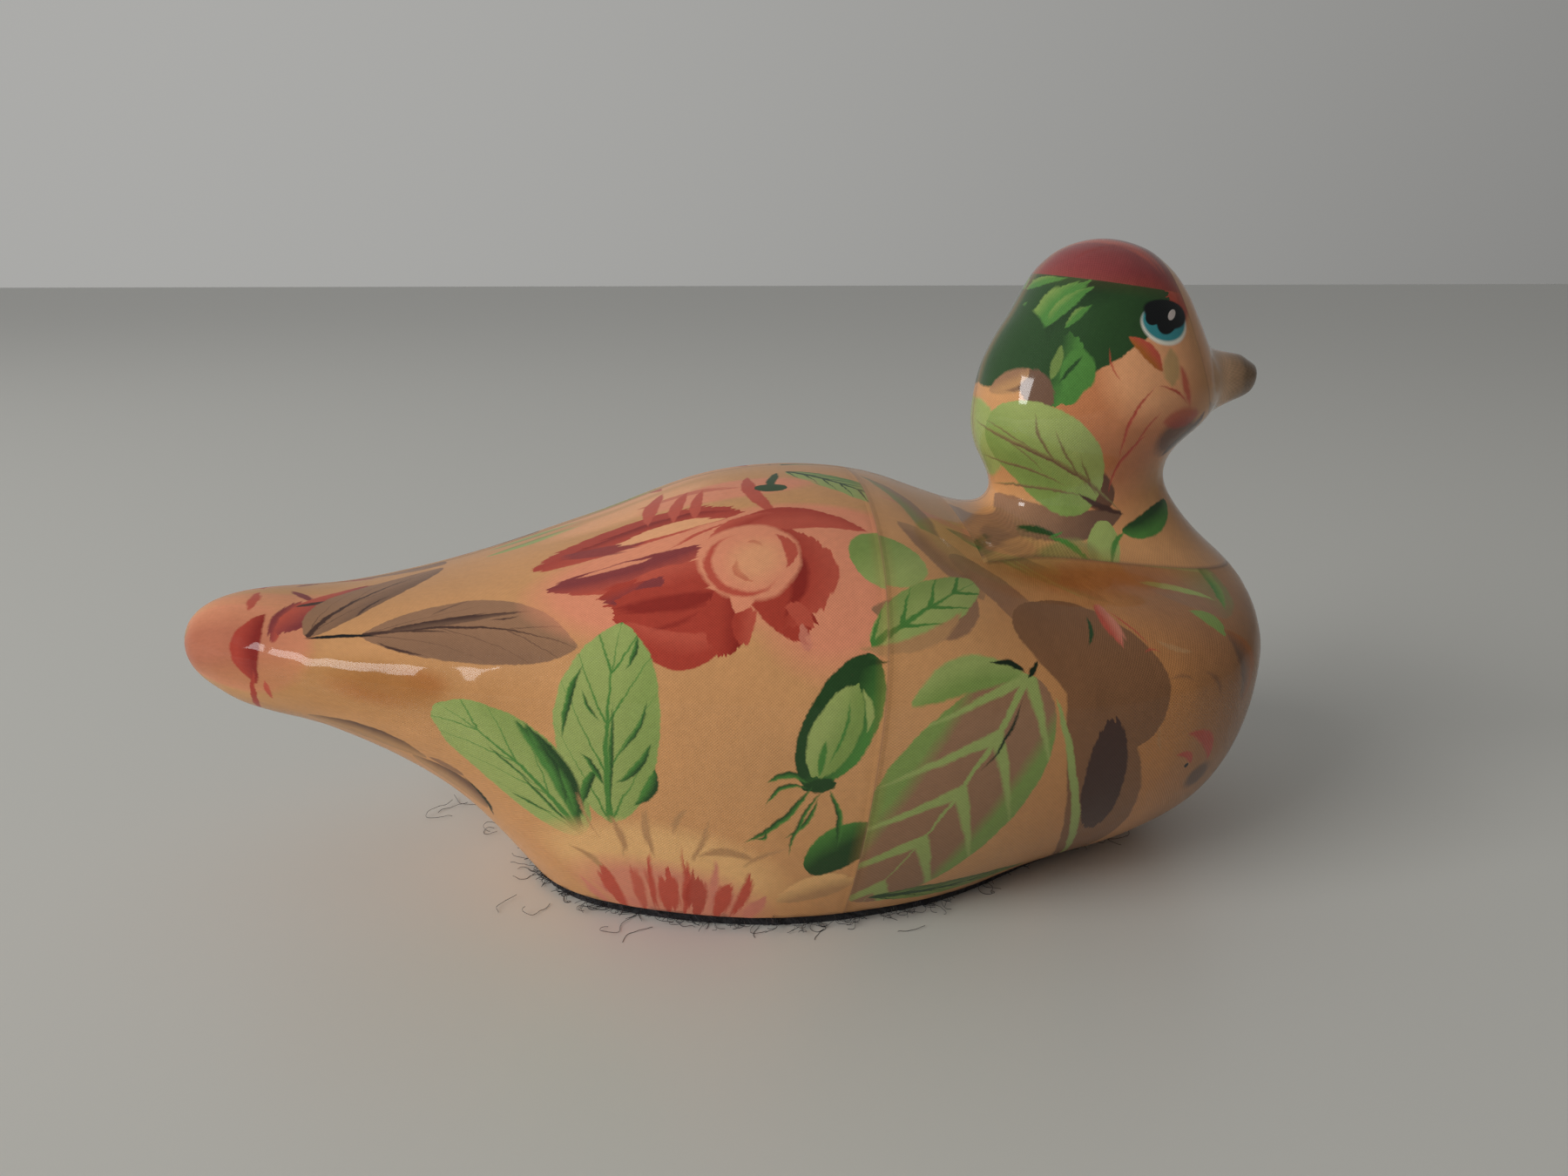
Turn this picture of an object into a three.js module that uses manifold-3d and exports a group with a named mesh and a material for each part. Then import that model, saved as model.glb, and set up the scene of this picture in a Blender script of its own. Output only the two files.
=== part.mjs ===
import * as THREE from 'three';
import { mergeVertices } from 'three/addons/utils/BufferGeometryUtils.js';
import Module from 'manifold-3d';

const wasm = await Module();
wasm.setup();

// A duck figurine, cast in one piece and covered with printed cloth, on a flat base with felt under it.
// Millimetres, +Z up and +X towards the bill. The origin is under the middle of the felt.

// Driving dimensions
const BODY_LENGTH = 203; // from the tip of the tail to the breast
const FELT_THICKNESS = 2;
const FELT_INSET = 1; // how far the felt stays inside the edge of the flat base

// Fineness of the mesh
const BODY_STEP = 5.2;
const HEAD_STEP = 3.3;
const SETTLE_PASSES = 3;
const FELT_CORNERS = 72;

// The free form keeps its proportions as shares of the body's length, here in percent.
const percent = BODY_LENGTH / 100;

// Sections of the body from the tail to the breast: heights of the back, of the widest line and of the
// belly, all above the table, and the half width there. They are evenly spaced in the angle whose
// cosine is their place along the body, so they stand closer together towards its round ends.
const SECTIONS = [
  { back: 21.5, side: 21.5, belly: 21.5, half: 0 },
  { back: 24.7, side: 21.6, belly: 18.3, half: 2.9 },
  { back: 26.1, side: 21.0, belly: 15.4, half: 6.3 },
  { back: 26.2, side: 20.4, belly: 13.4, half: 10.2 },
  { back: 28.1, side: 19.9, belly: 6.9, half: 14.7 },
  { back: 31.7, side: 19.5, belly: -8.0, half: 19.4 },
  { back: 35.8, side: 19.1, belly: -13.3, half: 23.0 },
  { back: 35.5, side: 18.9, belly: -8.3, half: 24.5 },
  { back: 30.9, side: 19.0, belly: -2.7, half: 23.9 },
  { back: 28.5, side: 19.3, belly: -0.3, half: 21.9 },
  { back: 27.7, side: 20.0, belly: 3.1, half: 17.9 },
  { back: 26.2, side: 21.3, belly: 10.2, half: 10.9 },
  { back: 23.3, side: 23.3, belly: 23.3, half: 0 },
];
const BODY_MIDDLE = -5.9; // where the body's middle lies along X

// How square the sections are above and below the widest line; 2 is an ellipse.
const BACK_SQUARENESS = 2.05;
const BELLY_SQUARENESS = 2.1;

// Rounded volumes of the head: the centre, the half sizes along, across and up, and the tilt in degrees
// that lifts the front end.
const NECK = { x: 29.7, z: 32.2, along: 6.7, across: 6.4, up: 17.8, tilt: 30.5 };
const CHEEKS = { x: 29.2, z: 41.0, along: 11.1, across: 8.1, up: 4.8, tilt: 10.5 };
const CROWN = { x: 29.1, z: 50.6, along: 7.0, across: 6.7, up: 6.3, tilt: -6.2 };
const BILL = { x: 38.5, z: 43.6, along: 7.4, across: 3.1, up: 3.0, tilt: 6.5 };

// Widths of the soft transitions between the volumes
const CROWN_BLEND = 12.2;
const THROAT_BLEND = 4.6;
const BILL_BLEND = 1.5;
const SHOULDER_BLEND = 7.4;

// The head's zone of the finer mesh
const HEAD_BACK = 17;
const HEAD_FOOT = 31;
const HEAD_HALF_WIDTH = 10;

const CLOTH_COLOUR = 0xc8966b;
const FELT_COLOUR = 0x1b1b1d;

/** Smooth curve through values at even steps, read at a share from 0 to 1 of its run. */
function curveAt(values, share) {
  const last = values.length - 1;
  const place = Math.min(Math.max(share * last, 0), last - 1e-9);
  const i = Math.floor(place);
  const t = place - i;
  const b = values[i];
  const c = values[i + 1];
  const a = i > 0 ? values[i - 1] : 2 * b - c;
  const d = i < last - 1 ? values[i + 2] : 2 * c - b;
  return 0.5 * (2 * b + (c - a) * t + (2 * a - 5 * b + 4 * c - d) * t * t + (3 * b - a - 3 * c + d) * t ** 3);
}

const BACK_CURVE = SECTIONS.map((section) => section.back * percent);
const SIDE_CURVE = SECTIONS.map((section) => section.side * percent);
const BELLY_CURVE = SECTIONS.map((section) => section.belly * percent);
const HALF_CURVE = SECTIONS.map((section) => section.half * percent);
const THINNEST = 1e-3;

/** How far a point lies outside the section through it, measured within that section. */
function sectionGap(x, y, z) {
  const halfLength = BODY_LENGTH / 2;
  const along = x - BODY_MIDDLE * percent;
  const beyond = Math.max(Math.abs(along) - halfLength, 0);
  const cosine = THREE.MathUtils.clamp(along / halfLength, -1, 1);
  const share = Math.acos(-cosine) / Math.PI;
  const side = curveAt(SIDE_CURVE, share);
  const half = Math.max(curveAt(HALF_CURVE, share), THINNEST);
  const above = z > side;
  const reach = above ? curveAt(BACK_CURVE, share) - side : side - curveAt(BELLY_CURVE, share);
  const squareness = above ? BACK_SQUARENESS : BELLY_SQUARENESS;
  const radius = Math.hypot(y, z - side) + THINNEST;
  const across = Math.abs(y) / radius / half;
  const upright = Math.abs(z - side) / radius / Math.max(reach, THINNEST);
  const edge = (across ** squareness + upright ** squareness) ** (-1 / squareness);
  return radius - edge + beyond;
}

const PROBE = 0.4;

/** Slope of a field at a point, by central differences. */
function slope(field, x, y, z) {
  return new THREE.Vector3(
    field(x + PROBE, y, z) - field(x - PROBE, y, z),
    field(x, y + PROBE, z) - field(x, y - PROBE, z),
    field(x, y, z + PROBE) - field(x, y, z - PROBE),
  ).divideScalar(2 * PROBE);
}

const GENTLEST_SLOPE = 0.6;

/** Distance to the body, close to true near its surface and negative inside it. */
function bodyDistance(x, y, z) {
  return sectionGap(x, y, z) / Math.max(slope(sectionGap, x, y, z).length(), GENTLEST_SLOPE);
}

/** Distance to a tilted ellipsoid. */
function volumeDistance(volume, x, y, z) {
  const tilt = THREE.MathUtils.degToRad(volume.tilt);
  const forward = x - volume.x * percent;
  const upward = z - volume.z * percent;
  const offset = new THREE.Vector3(
    forward * Math.cos(tilt) + upward * Math.sin(tilt),
    y,
    upward * Math.cos(tilt) - forward * Math.sin(tilt),
  );
  const size = new THREE.Vector3(volume.along, volume.across, volume.up).multiplyScalar(percent);
  const scaled = offset.divide(size);
  const reach = scaled.length();
  return (reach * (reach - 1)) / Math.max(scaled.divide(size).length(), 1e-9);
}

/** Union of two distances with a soft transition of the given width. */
function blend(a, b, width) {
  const overlap = Math.max(width - Math.abs(a - b), 0) / width;
  return Math.min(a, b) - (overlap * overlap * width) / 4;
}

/** Distance to the whole duck, before its base is cut flat. */
function duckDistance(x, y, z) {
  const crown = volumeDistance(CROWN, x, y, z);
  const cheeks = volumeDistance(CHEEKS, x, y, z);
  const neck = volumeDistance(NECK, x, y, z);
  const bill = volumeDistance(BILL, x, y, z);
  const skull = blend(crown, cheeks, CROWN_BLEND * percent);
  const head = blend(skull, neck, THROAT_BLEND * percent);
  const faced = blend(head, bill, BILL_BLEND * percent);
  return blend(bodyDistance(x, y, z), faced, SHOULDER_BLEND * percent);
}

/** Grid places from one end to the other, with finer steps between two of them. */
function gridLine(from, to, step, fineFrom, fineTo, fineStep) {
  const places = [from];
  while (places.at(-1) < to) {
    const place = places.at(-1);
    const fine = place >= fineFrom && place < fineTo;
    places.push(place + (fine ? fineStep : step));
  }
  return places;
}

/** Grid places that lie in pairs about zero, so that a row of cells straddles the middle. */
function mirroredLine(reach, step, fineTo, fineStep) {
  const right = gridLine(fineStep / 2, reach, step, 0, fineTo, fineStep);
  return [...right.map((place) => -place).reverse(), ...right];
}

/** Moves a point onto the surface where the field is zero. */
function ontoSurface(field, point) {
  for (let i = 0; i < 4; i += 1) {
    const uphill = slope(field, point.x, point.y, point.z);
    const away = field(point.x, point.y, point.z) / Math.max(uphill.lengthSq(), 1e-6);
    point.addScaledVector(uphill, -away);
  }
  return point;
}

const CELL_CORNERS = [0, 1, 2, 3, 4, 5, 6, 7].map((i) => [i & 1, (i >> 1) & 1, i >> 2]);
const CELL_EDGES = CELL_CORNERS.flatMap((a, i) =>
  CELL_CORNERS.map((b, j) => [i, j]).filter(([, j]) => j > i && new THREE.Vector3(...a)
    .distanceToSquared(new THREE.Vector3(...CELL_CORNERS[j])) === 1));

/** Closed mesh of four-sided cells where a field is zero, one corner for each grid cell it crosses. */
function surfaceNet(field, xs, ys, zs) {
  const values = xs.map((x) => ys.map((y) => zs.map((z) => field(x, y, z))));
  const corners = [];
  const cornerOf = new Map();
  const key = (i, j, k) => (i * ys.length + j) * zs.length + k;

  const addCorner = (i, j, k) => {
    const inside = CELL_CORNERS.map(([a, b, c]) => values[i + a][j + b][k + c]);
    const crossings = CELL_EDGES.filter(([a, b]) => (inside[a] < 0) !== (inside[b] < 0));
    if (crossings.length === 0) return;
    const middle = new THREE.Vector3();
    for (const [a, b] of crossings) {
      const share = inside[a] / (inside[a] - inside[b]);
      const [start, end] = [a, b].map((corner) => {
        const [u, v, w] = CELL_CORNERS[corner];
        return new THREE.Vector3(xs[i + u], ys[j + v], zs[k + w]);
      });
      middle.add(start.lerp(end, share));
    }
    cornerOf.set(key(i, j, k), corners.length);
    corners.push(ontoSurface(field, middle.divideScalar(crossings.length)));
  };

  const faces = [];
  const addFace = (inwards, cells) => {
    const face = cells.map((cell) => cornerOf.get(key(...cell)));
    faces.push(inwards ? face.reverse() : face);
  };

  for (let i = 0; i < xs.length - 1; i += 1) {
    for (let j = 0; j < ys.length - 1; j += 1) {
      for (let k = 0; k < zs.length - 1; k += 1) addCorner(i, j, k);
    }
  }
  for (let i = 1; i < xs.length - 1; i += 1) {
    for (let j = 1; j < ys.length - 1; j += 1) {
      for (let k = 1; k < zs.length - 1; k += 1) {
        const here = values[i][j][k] < 0;
        if (here !== values[i + 1][j][k] < 0) {
          addFace(!here, [[i, j - 1, k - 1], [i, j, k - 1], [i, j, k], [i, j - 1, k]]);
        }
        if (here !== values[i][j + 1][k] < 0) {
          addFace(!here, [[i - 1, j, k - 1], [i - 1, j, k], [i, j, k], [i, j, k - 1]]);
        }
        if (here !== values[i][j][k + 1] < 0) {
          addFace(!here, [[i - 1, j - 1, k], [i, j - 1, k], [i, j, k], [i - 1, j, k]]);
        }
      }
    }
  }
  settle(field, corners, faces);
  return netGeometry(corners, faces);
}

/** Evens out the mesh: each corner goes to the middle of its neighbours and back onto the surface. */
function settle(field, corners, faces) {
  const neighbours = corners.map(() => new Set());
  for (const face of faces) {
    face.forEach((corner, i) => {
      neighbours[corner].add(face[(i + 1) % 4]);
      neighbours[corner].add(face[(i + 3) % 4]);
    });
  }
  for (let pass = 0; pass < SETTLE_PASSES; pass += 1) {
    const middles = neighbours.map((set) => {
      const sum = new THREE.Vector3();
      for (const other of set) sum.add(corners[other]);
      return sum.divideScalar(set.size);
    });
    corners.forEach((corner, i) => ontoSurface(field, corner.copy(middles[i])));
  }
}

/** Geometry of four-sided faces, each split along its shorter diagonal. */
function netGeometry(corners, faces) {
  const index = [];
  for (const [a, b, c, d] of faces) {
    const straight = corners[a].distanceTo(corners[c]) <= corners[b].distanceTo(corners[d]);
    index.push(...(straight ? [a, b, c, a, c, d] : [b, c, d, b, d, a]));
  }
  const geometry = new THREE.BufferGeometry().setFromPoints(corners);
  return geometry.setIndex(index);
}

/** A solid for cutting, from a geometry's places and faces alone. */
function toSolid(geometry) {
  const bare = geometry.clone();
  bare.deleteAttribute('normal');
  bare.deleteAttribute('uv');
  const merged = mergeVertices(bare, 1e-4);
  return new wasm.Manifold(new wasm.Mesh({
    numProp: 3,
    vertProperties: new Float32Array(merged.attributes.position.array),
    triVerts: new Uint32Array(merged.index.array),
  }));
}

/** The geometry of a cut solid. */
function toGeometry(solid) {
  const mesh = solid.getMesh();
  const geometry = new THREE.BufferGeometry();
  geometry.setAttribute('position', new THREE.BufferAttribute(new Float32Array(mesh.vertProperties), 3));
  geometry.setIndex(new THREE.BufferAttribute(new Uint32Array(mesh.triVerts), 1));
  return geometry;
}

/** The duck's solid, standing flat on the felt. */
function duckGeometry() {
  const low = BODY_MIDDLE * percent - BODY_LENGTH / 2;
  const high = (BILL.x + BILL.along) * percent;
  const crownTop = (CROWN.z + CROWN.up) * percent + HEAD_STEP;
  const halfWidth = Math.max(...HALF_CURVE) + BODY_STEP;
  const deepest = Math.min(...BELLY_CURVE) - 2 * BODY_STEP;
  const net = surfaceNet(
    duckDistance,
    gridLine(low - 2 * BODY_STEP, high + 3 * HEAD_STEP, BODY_STEP, HEAD_BACK * percent, Infinity, HEAD_STEP),
    mirroredLine(halfWidth + BODY_STEP, BODY_STEP, HEAD_HALF_WIDTH * percent, HEAD_STEP),
    gridLine(deepest, crownTop + HEAD_STEP, BODY_STEP, HEAD_FOOT * percent, Infinity, HEAD_STEP),
  );
  const depth = FELT_THICKNESS - deepest + BODY_STEP;
  const below = new THREE.BoxGeometry(2 * BODY_LENGTH, 2 * BODY_LENGTH, depth);
  below.translate(0, 0, FELT_THICKNESS - depth / 2);
  return toGeometry(toSolid(net).subtract(toSolid(below)));
}

/** Outline of the flat base, drawn in by the felt's inset. */
function feltOutline() {
  const middle = BODY_MIDDLE * percent;
  const outline = [];
  for (let i = 0; i < FELT_CORNERS; i += 1) {
    const angle = (2 * Math.PI * i) / FELT_CORNERS;
    let near = 0;
    let far = BODY_LENGTH;
    while (far - near > THINNEST) {
      const radius = (near + far) / 2;
      const gap = duckDistance(middle + radius * Math.cos(angle), radius * Math.sin(angle), FELT_THICKNESS);
      if (gap < -FELT_INSET) near = radius;
      else far = radius;
    }
    outline.push(new THREE.Vector2(middle + near * Math.cos(angle), near * Math.sin(angle)));
  }
  return outline;
}

/** The felt under the base. */
function feltGeometry() {
  const shape = new THREE.Shape(feltOutline());
  return new THREE.ExtrudeGeometry(shape, { depth: FELT_THICKNESS, bevelEnabled: false });
}

const cloth = new THREE.MeshStandardMaterial({ color: CLOTH_COLOUR, roughness: 0.3, metalness: 0 });
const felt = new THREE.MeshStandardMaterial({ color: FELT_COLOUR, roughness: 1, metalness: 0 });

const duck = new THREE.Mesh(duckGeometry(), cloth);
duck.name = 'duck_body';
const pad = new THREE.Mesh(feltGeometry(), felt);
pad.name = 'felt_pad';

// The origin goes to the middle of the duck's length.
duck.geometry.computeBoundingBox();
const middle = duck.geometry.boundingBox.getCenter(new THREE.Vector3());
duck.geometry.translate(-middle.x, 0, 0);
pad.geometry.translate(-middle.x, 0, 0);

const group = new THREE.Group();
group.add(duck, pad);

export default group;
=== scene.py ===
"""A duck figurine covered with rose-printed cloth under clear lacquer, standing on black felt.

The cloth is glued on in patches. Each patch has its own lay, which says how the flat print meets the duck's
round form, in millimetres of cloth. Printed figures are placed by the pixels of the photograph where they
show, and by the same pixels seen in a mirror on the far side.
"""
import logging
import math
import random
from collections.abc import Callable, Iterable, Sequence
from dataclasses import dataclass, field
from enum import Enum
from functools import cache

import bmesh
import bpy
from mathutils import Matrix, Vector
from mathutils.bvhtree import BVHTree


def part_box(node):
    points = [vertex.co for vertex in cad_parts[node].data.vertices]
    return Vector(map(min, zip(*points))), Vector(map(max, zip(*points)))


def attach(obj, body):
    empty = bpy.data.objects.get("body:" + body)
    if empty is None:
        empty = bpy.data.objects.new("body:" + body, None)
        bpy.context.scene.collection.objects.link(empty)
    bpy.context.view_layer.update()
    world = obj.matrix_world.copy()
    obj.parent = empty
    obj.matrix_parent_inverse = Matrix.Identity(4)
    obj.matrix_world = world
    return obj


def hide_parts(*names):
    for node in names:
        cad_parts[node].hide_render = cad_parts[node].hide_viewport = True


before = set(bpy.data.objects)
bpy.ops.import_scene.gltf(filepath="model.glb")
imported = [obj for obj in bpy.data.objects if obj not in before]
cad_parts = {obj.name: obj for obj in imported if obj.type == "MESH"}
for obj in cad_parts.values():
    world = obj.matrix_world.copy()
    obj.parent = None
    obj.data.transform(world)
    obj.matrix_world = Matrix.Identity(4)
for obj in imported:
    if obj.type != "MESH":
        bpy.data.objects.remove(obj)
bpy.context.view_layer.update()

LOG = logging.getLogger("duck")
MM = 0.001
WELD = 0.002 * MM  # corners of a CAD mesh that lie closer are one corner
DIM_ROOM = 1.8  # how much less light the photograph gives back than the cloth does
TINY = 1e-3  # mm, below which a distance counts as none
MARGIN = 1.0  # mm round a figure's bounds
ARCH = 4.0  # the arch over a run is a quarter at its middle
EDGE_DROP = 0.1  # how far inside its outline a figure is at full strength
Pixel = tuple[float, float]
Spot = Callable[[Pixel], Vector]  # finds the cloth's place under a pixel of the photograph


class Side(Enum):
    """The duck's right side is the one that the photograph shows."""

    RIGHT = -1
    LEFT = 1


def linear(code: str, gain: float = 1.0) -> tuple[float, float, float, float]:
    """Turns a screen colour into the numbers of a shader.

    Args:
        code: Six hexadecimal digits, red, green and blue.
        gain: Factor on the light that the colour gives back.

    Returns:
        Red, green, blue and 1.
    """
    parts = [int(code[i:i + 2], 16) / 255 for i in (0, 2, 4)]
    lit = [p / 12.92 if p <= 0.04045 else ((p + 0.055) / 1.055) ** 2.4 for p in parts]
    return (*[min(p * gain, 0.95) for p in lit], 1.0)


class Dye(Enum):
    """Colours of the print, the paint and the glue, as they look in the dim room of the photograph; some are
    also laid as painted shade.
    """

    GROUND = "aa7c52"
    SALMON = "b8755a"
    PEACH = "bc8862"
    ROSE = "9b4334"
    RED = "8c3226"
    DEEP = "6e1c17"
    MAROON = "6d2d2e"
    PINK = "ab6a58"
    TAIL = "8a4e3c"
    CREAM = "ba9262"
    PALE_GREEN = "7e8b50"
    LEAF_GREEN = "687c40"
    MID_GREEN = "3f6a30"
    DARK_GREEN = "213a1e"
    BLACK_GREEN = "142013"
    OLIVE = "6f6e42"
    TAN = "96714d"
    BROWN = "7c5c45"
    UMBER = "5b4335"
    WARM_BROWN = "6e4c33"
    CHEEK = "9c603f"
    DARK_BROWN = "3b2721"
    GLUE = "8a6034"
    RUST = "8c5022"
    SPECK = "4a3426"
    BILL = "a58d76"
    BILL_TIP = "5c4834"
    BLACK = "0c0e10"
    TEAL = "2c7178"
    WHITE = "b9b6ab"
    GLINT = "a79c98"

    @property
    def colour(self) -> tuple[float, float, float, float]:
        """The dye's own colour, brighter than it looks in the dim room."""
        return linear(self.value, DIM_ROOM)


def placed(name: str, data: bpy.types.ID) -> bpy.types.Object:
    """Adds an object to the scene, unturned at the origin.

    Args:
        name: Its name.
        data: Its mesh, lamp or camera.

    Returns:
        The object.
    """
    thing = bpy.data.objects.new(name, data)
    bpy.context.scene.collection.objects.link(thing)
    return thing


def mesh_of(shape: bmesh.types.BMesh, name: str) -> bpy.types.Mesh:
    """Turns a finished shape into a mesh and frees it.

    Args:
        shape: The shape, which is gone afterwards.
        name: The mesh's name.

    Returns:
        The mesh.
    """
    mesh = bpy.data.meshes.new(name)
    shape.to_mesh(mesh)
    shape.free()
    return mesh


@dataclass(frozen=True)
class PhotoCamera:
    """The camera that sees the duck as the photograph does."""

    place: tuple[float, float, float] = (-0.0200, -0.2197, 0.1108)
    yaw: float = 7.57
    pitch: float = 15.38
    focal_pixels: float = 1354.0
    frame_pixels: Pixel = (1800, 1350)
    sensor: float = 36.0
    duck_distances: range = range(150, 310, 2)  # mm from the camera, between which the duck stands

    def turn(self) -> Matrix:
        """The camera's rotation, looking along -Z of its own."""
        turn = Matrix.Rotation(math.radians(-self.yaw), 4, "Z")
        return turn @ Matrix.Rotation(math.radians(90 - self.pitch), 4, "X")

    def ray(self, pixel: Pixel) -> Vector:
        """The direction from the camera through a pixel of the photograph.

        Args:
            pixel: Across and down in the photograph.

        Returns:
            The direction, of length 1.
        """
        across = pixel[0] - self.frame_pixels[0] / 2
        down = pixel[1] - self.frame_pixels[1] / 2
        return (self.turn() @ Vector((across, -down, -self.focal_pixels))).normalized()

    def build(self) -> None:
        """Makes the camera and sets it as the scene's."""
        data = bpy.data.cameras.new("photo_camera")
        data.sensor_width = self.sensor
        data.lens = self.sensor * self.focal_pixels / self.frame_pixels[0]
        data.clip_start = 0.01
        eye = placed("photo_camera", data)
        eye.matrix_world = Matrix.Translation(self.place) @ self.turn()
        bpy.context.scene.camera = eye


class Signal:
    """A shader socket that takes part in Python sums: each sum adds its Math node."""

    def __init__(self, graph: "Graph", socket: bpy.types.NodeSocket) -> None:
        """Wraps a socket of a graph's node."""
        self.graph = graph
        self.socket = socket

    def math(self, operation: str, *others: "Signal | float", clamp: bool = False) -> "Signal":
        """Adds a Math node with this value first.

        Args:
            operation: The Math node's operation.
            others: The other values.
            clamp: Whether the result is kept from 0 to 1.

        Returns:
            The node's result.
        """
        return self.graph.sum(operation, self, *others, clamp=clamp)

    def other(self, name: str) -> "Signal":
        """Another output of the same node."""
        return Signal(self.graph, self.socket.node.outputs[name])

    def __add__(self, other: "Signal | float") -> "Signal":
        """Sum."""
        return self.math("ADD", other)

    def __radd__(self, other: float) -> "Signal":
        """Sum with a number first."""
        return self.math("ADD", other)

    def __sub__(self, other: "Signal | float") -> "Signal":
        """Difference."""
        return self.math("SUBTRACT", other)

    def __rsub__(self, other: float) -> "Signal":
        """Difference from a number."""
        return self.graph.sum("SUBTRACT", other, self)

    def __mul__(self, other: "Signal | float") -> "Signal":
        """Product."""
        return self.math("MULTIPLY", other)

    def __rmul__(self, other: float) -> "Signal":
        """Product with a number first."""
        return self.math("MULTIPLY", other)

    def __truediv__(self, other: "Signal | float") -> "Signal":
        """Quotient."""
        return self.math("DIVIDE", other)

    def __rtruediv__(self, other: float) -> "Signal":
        """Quotient of a number."""
        return self.graph.sum("DIVIDE", other, self)

    def __pow__(self, other: "Signal | float") -> "Signal":
        """Power, which is 0 for a base below 0."""
        return self.math("POWER", other)

    def __neg__(self) -> "Signal":
        """Opposite value."""
        return self.math("MULTIPLY", -1.0)

    def __abs__(self) -> "Signal":
        """Size without sign."""
        return self.math("ABSOLUTE")

    def fitted(self, factor: "Signal | float", shift: "Signal | float", clamp: bool = False) -> "Signal":
        """This value times a factor plus a shift, in one node."""
        return self.math("MULTIPLY_ADD", factor, shift, clamp=clamp)


class Graph:
    """A tree of shader nodes."""

    def __init__(self, tree: bpy.types.NodeTree) -> None:
        """Wraps a tree."""
        self.tree = tree

    def node(self, kind: str, settings: dict | None = None, inputs: dict | None = None,
             output: int | str = 0) -> Signal:
        """Adds a node.

        Args:
            kind: The node's type.
            settings: Its settings; "stops" is a ramp's list of places and colours.
            inputs: Values or signals by the name or number of the socket.
            output: The name or number of the output that is wanted.

        Returns:
            That output.
        """
        node = self.tree.nodes.new(kind)
        for name, value in (settings or {}).items():
            if name == "stops":
                ramp = node.color_ramp
                for _ in range(len(value) - 2):
                    ramp.elements.new(0.5)
                for element, (place, colour) in zip(ramp.elements, value):
                    element.position = place
                    element.color = colour
            else:
                setattr(node, name, value)
        for key, value in (inputs or {}).items():
            if isinstance(value, Signal):
                self.tree.links.new(value.socket, node.inputs[key])
            else:
                node.inputs[key].default_value = value
        return Signal(self, node.outputs[output])

    def sum(self, operation: str, *values: Signal | float, clamp: bool = False) -> Signal:
        """Adds a Math node for these values."""
        settings = {"operation": operation, "use_clamp": clamp}
        return self.node("ShaderNodeMath", settings, dict(enumerate(values)))

    def mix(self, share: Signal | float, low: Signal | tuple, high: Signal | tuple) -> Signal:
        """Mixes two colours: the first at share 0, the second at share 1."""
        return self.node("ShaderNodeMix", {"data_type": "RGBA"}, {0: share, 6: low, 7: high}, 2)

    def vector(self, operation: str, values: dict[int | str, Signal | tuple | float],
               output: int | str = 0) -> Signal:
        """Adds a Vector Math node for these values."""
        return self.node("ShaderNodeVectorMath", {"operation": operation}, values, output)

    def noise(self, place: Signal, scale: float, detail: float = 2.0, output: str = "Fac") -> Signal:
        """Adds a Noise Texture at a place."""
        inputs = {"Vector": place, "Scale": scale, "Detail": detail}
        return self.node("ShaderNodeTexNoise", {}, inputs, output)


class Shader(Graph):
    """The node tree of one material, with its Principled shader."""

    def __init__(self, name: str) -> None:
        """Starts a material of that name.

        Args:
            name: The material's name.
        """
        self.material = bpy.data.materials.new(name)
        self.material.use_nodes = True
        super().__init__(self.material.node_tree)
        self.finish = next(n for n in self.tree.nodes if n.bl_idname == "ShaderNodeBsdfPrincipled")

    def set(self, **values: Signal | float | tuple) -> None:
        """Sets or links inputs of the Principled shader, with spaces in a name written as _.

        Args:
            values: What each input is set or linked to.
        """
        for name, value in values.items():
            socket = self.finish.inputs[name.replace("_", " ")]
            if isinstance(value, Signal):
                self.tree.links.new(value.socket, socket)
            else:
                socket.default_value = value


class Brush(Graph):
    """A node group that is drawn once and then used with different values."""

    SOCKETS = {"number": "NodeSocketFloat", "vector": "NodeSocketVector", "colour": "NodeSocketColor"}

    def __init__(self, name: str, takes: dict[str, str], gives: dict[str, str]) -> None:
        """Starts a group.

        Args:
            name: Its name.
            takes: The kind of each value that it takes, by name.
            gives: The kind of each value that it gives.
        """
        super().__init__(bpy.data.node_groups.new(name, "ShaderNodeTree"))
        for key, kind in takes.items():
            self.tree.interface.new_socket(key, in_out="INPUT", socket_type=self.SOCKETS[kind])
        for key, kind in gives.items():
            self.tree.interface.new_socket(key, in_out="OUTPUT", socket_type=self.SOCKETS[kind])
        self.source = self.tree.nodes.new("NodeGroupInput")
        self.sink = self.tree.nodes.new("NodeGroupOutput")

    def __getitem__(self, key: str) -> Signal:
        """A value that the group takes."""
        return Signal(self, self.source.outputs[key])

    def give(self, key: str, value: Signal) -> None:
        """Sets a value that the group gives."""
        self.tree.links.new(value.socket, self.sink.inputs[key])

    def used(self, graph: Graph, values: dict, output: int | str = 0) -> Signal:
        """Adds this group to another graph, with these values."""
        return graph.node("ShaderNodeGroup", {"node_tree": self.tree}, values, output)


@dataclass(frozen=True)
class Lay:
    """How a patch of flat cloth lies on the duck, as a map from a point to millimetres of cloth."""

    name: str

    def cloth(self, point: Vector) -> Vector:
        """The cloth's place at a point of the duck, both in millimetres."""
        raise NotImplementedError


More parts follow.
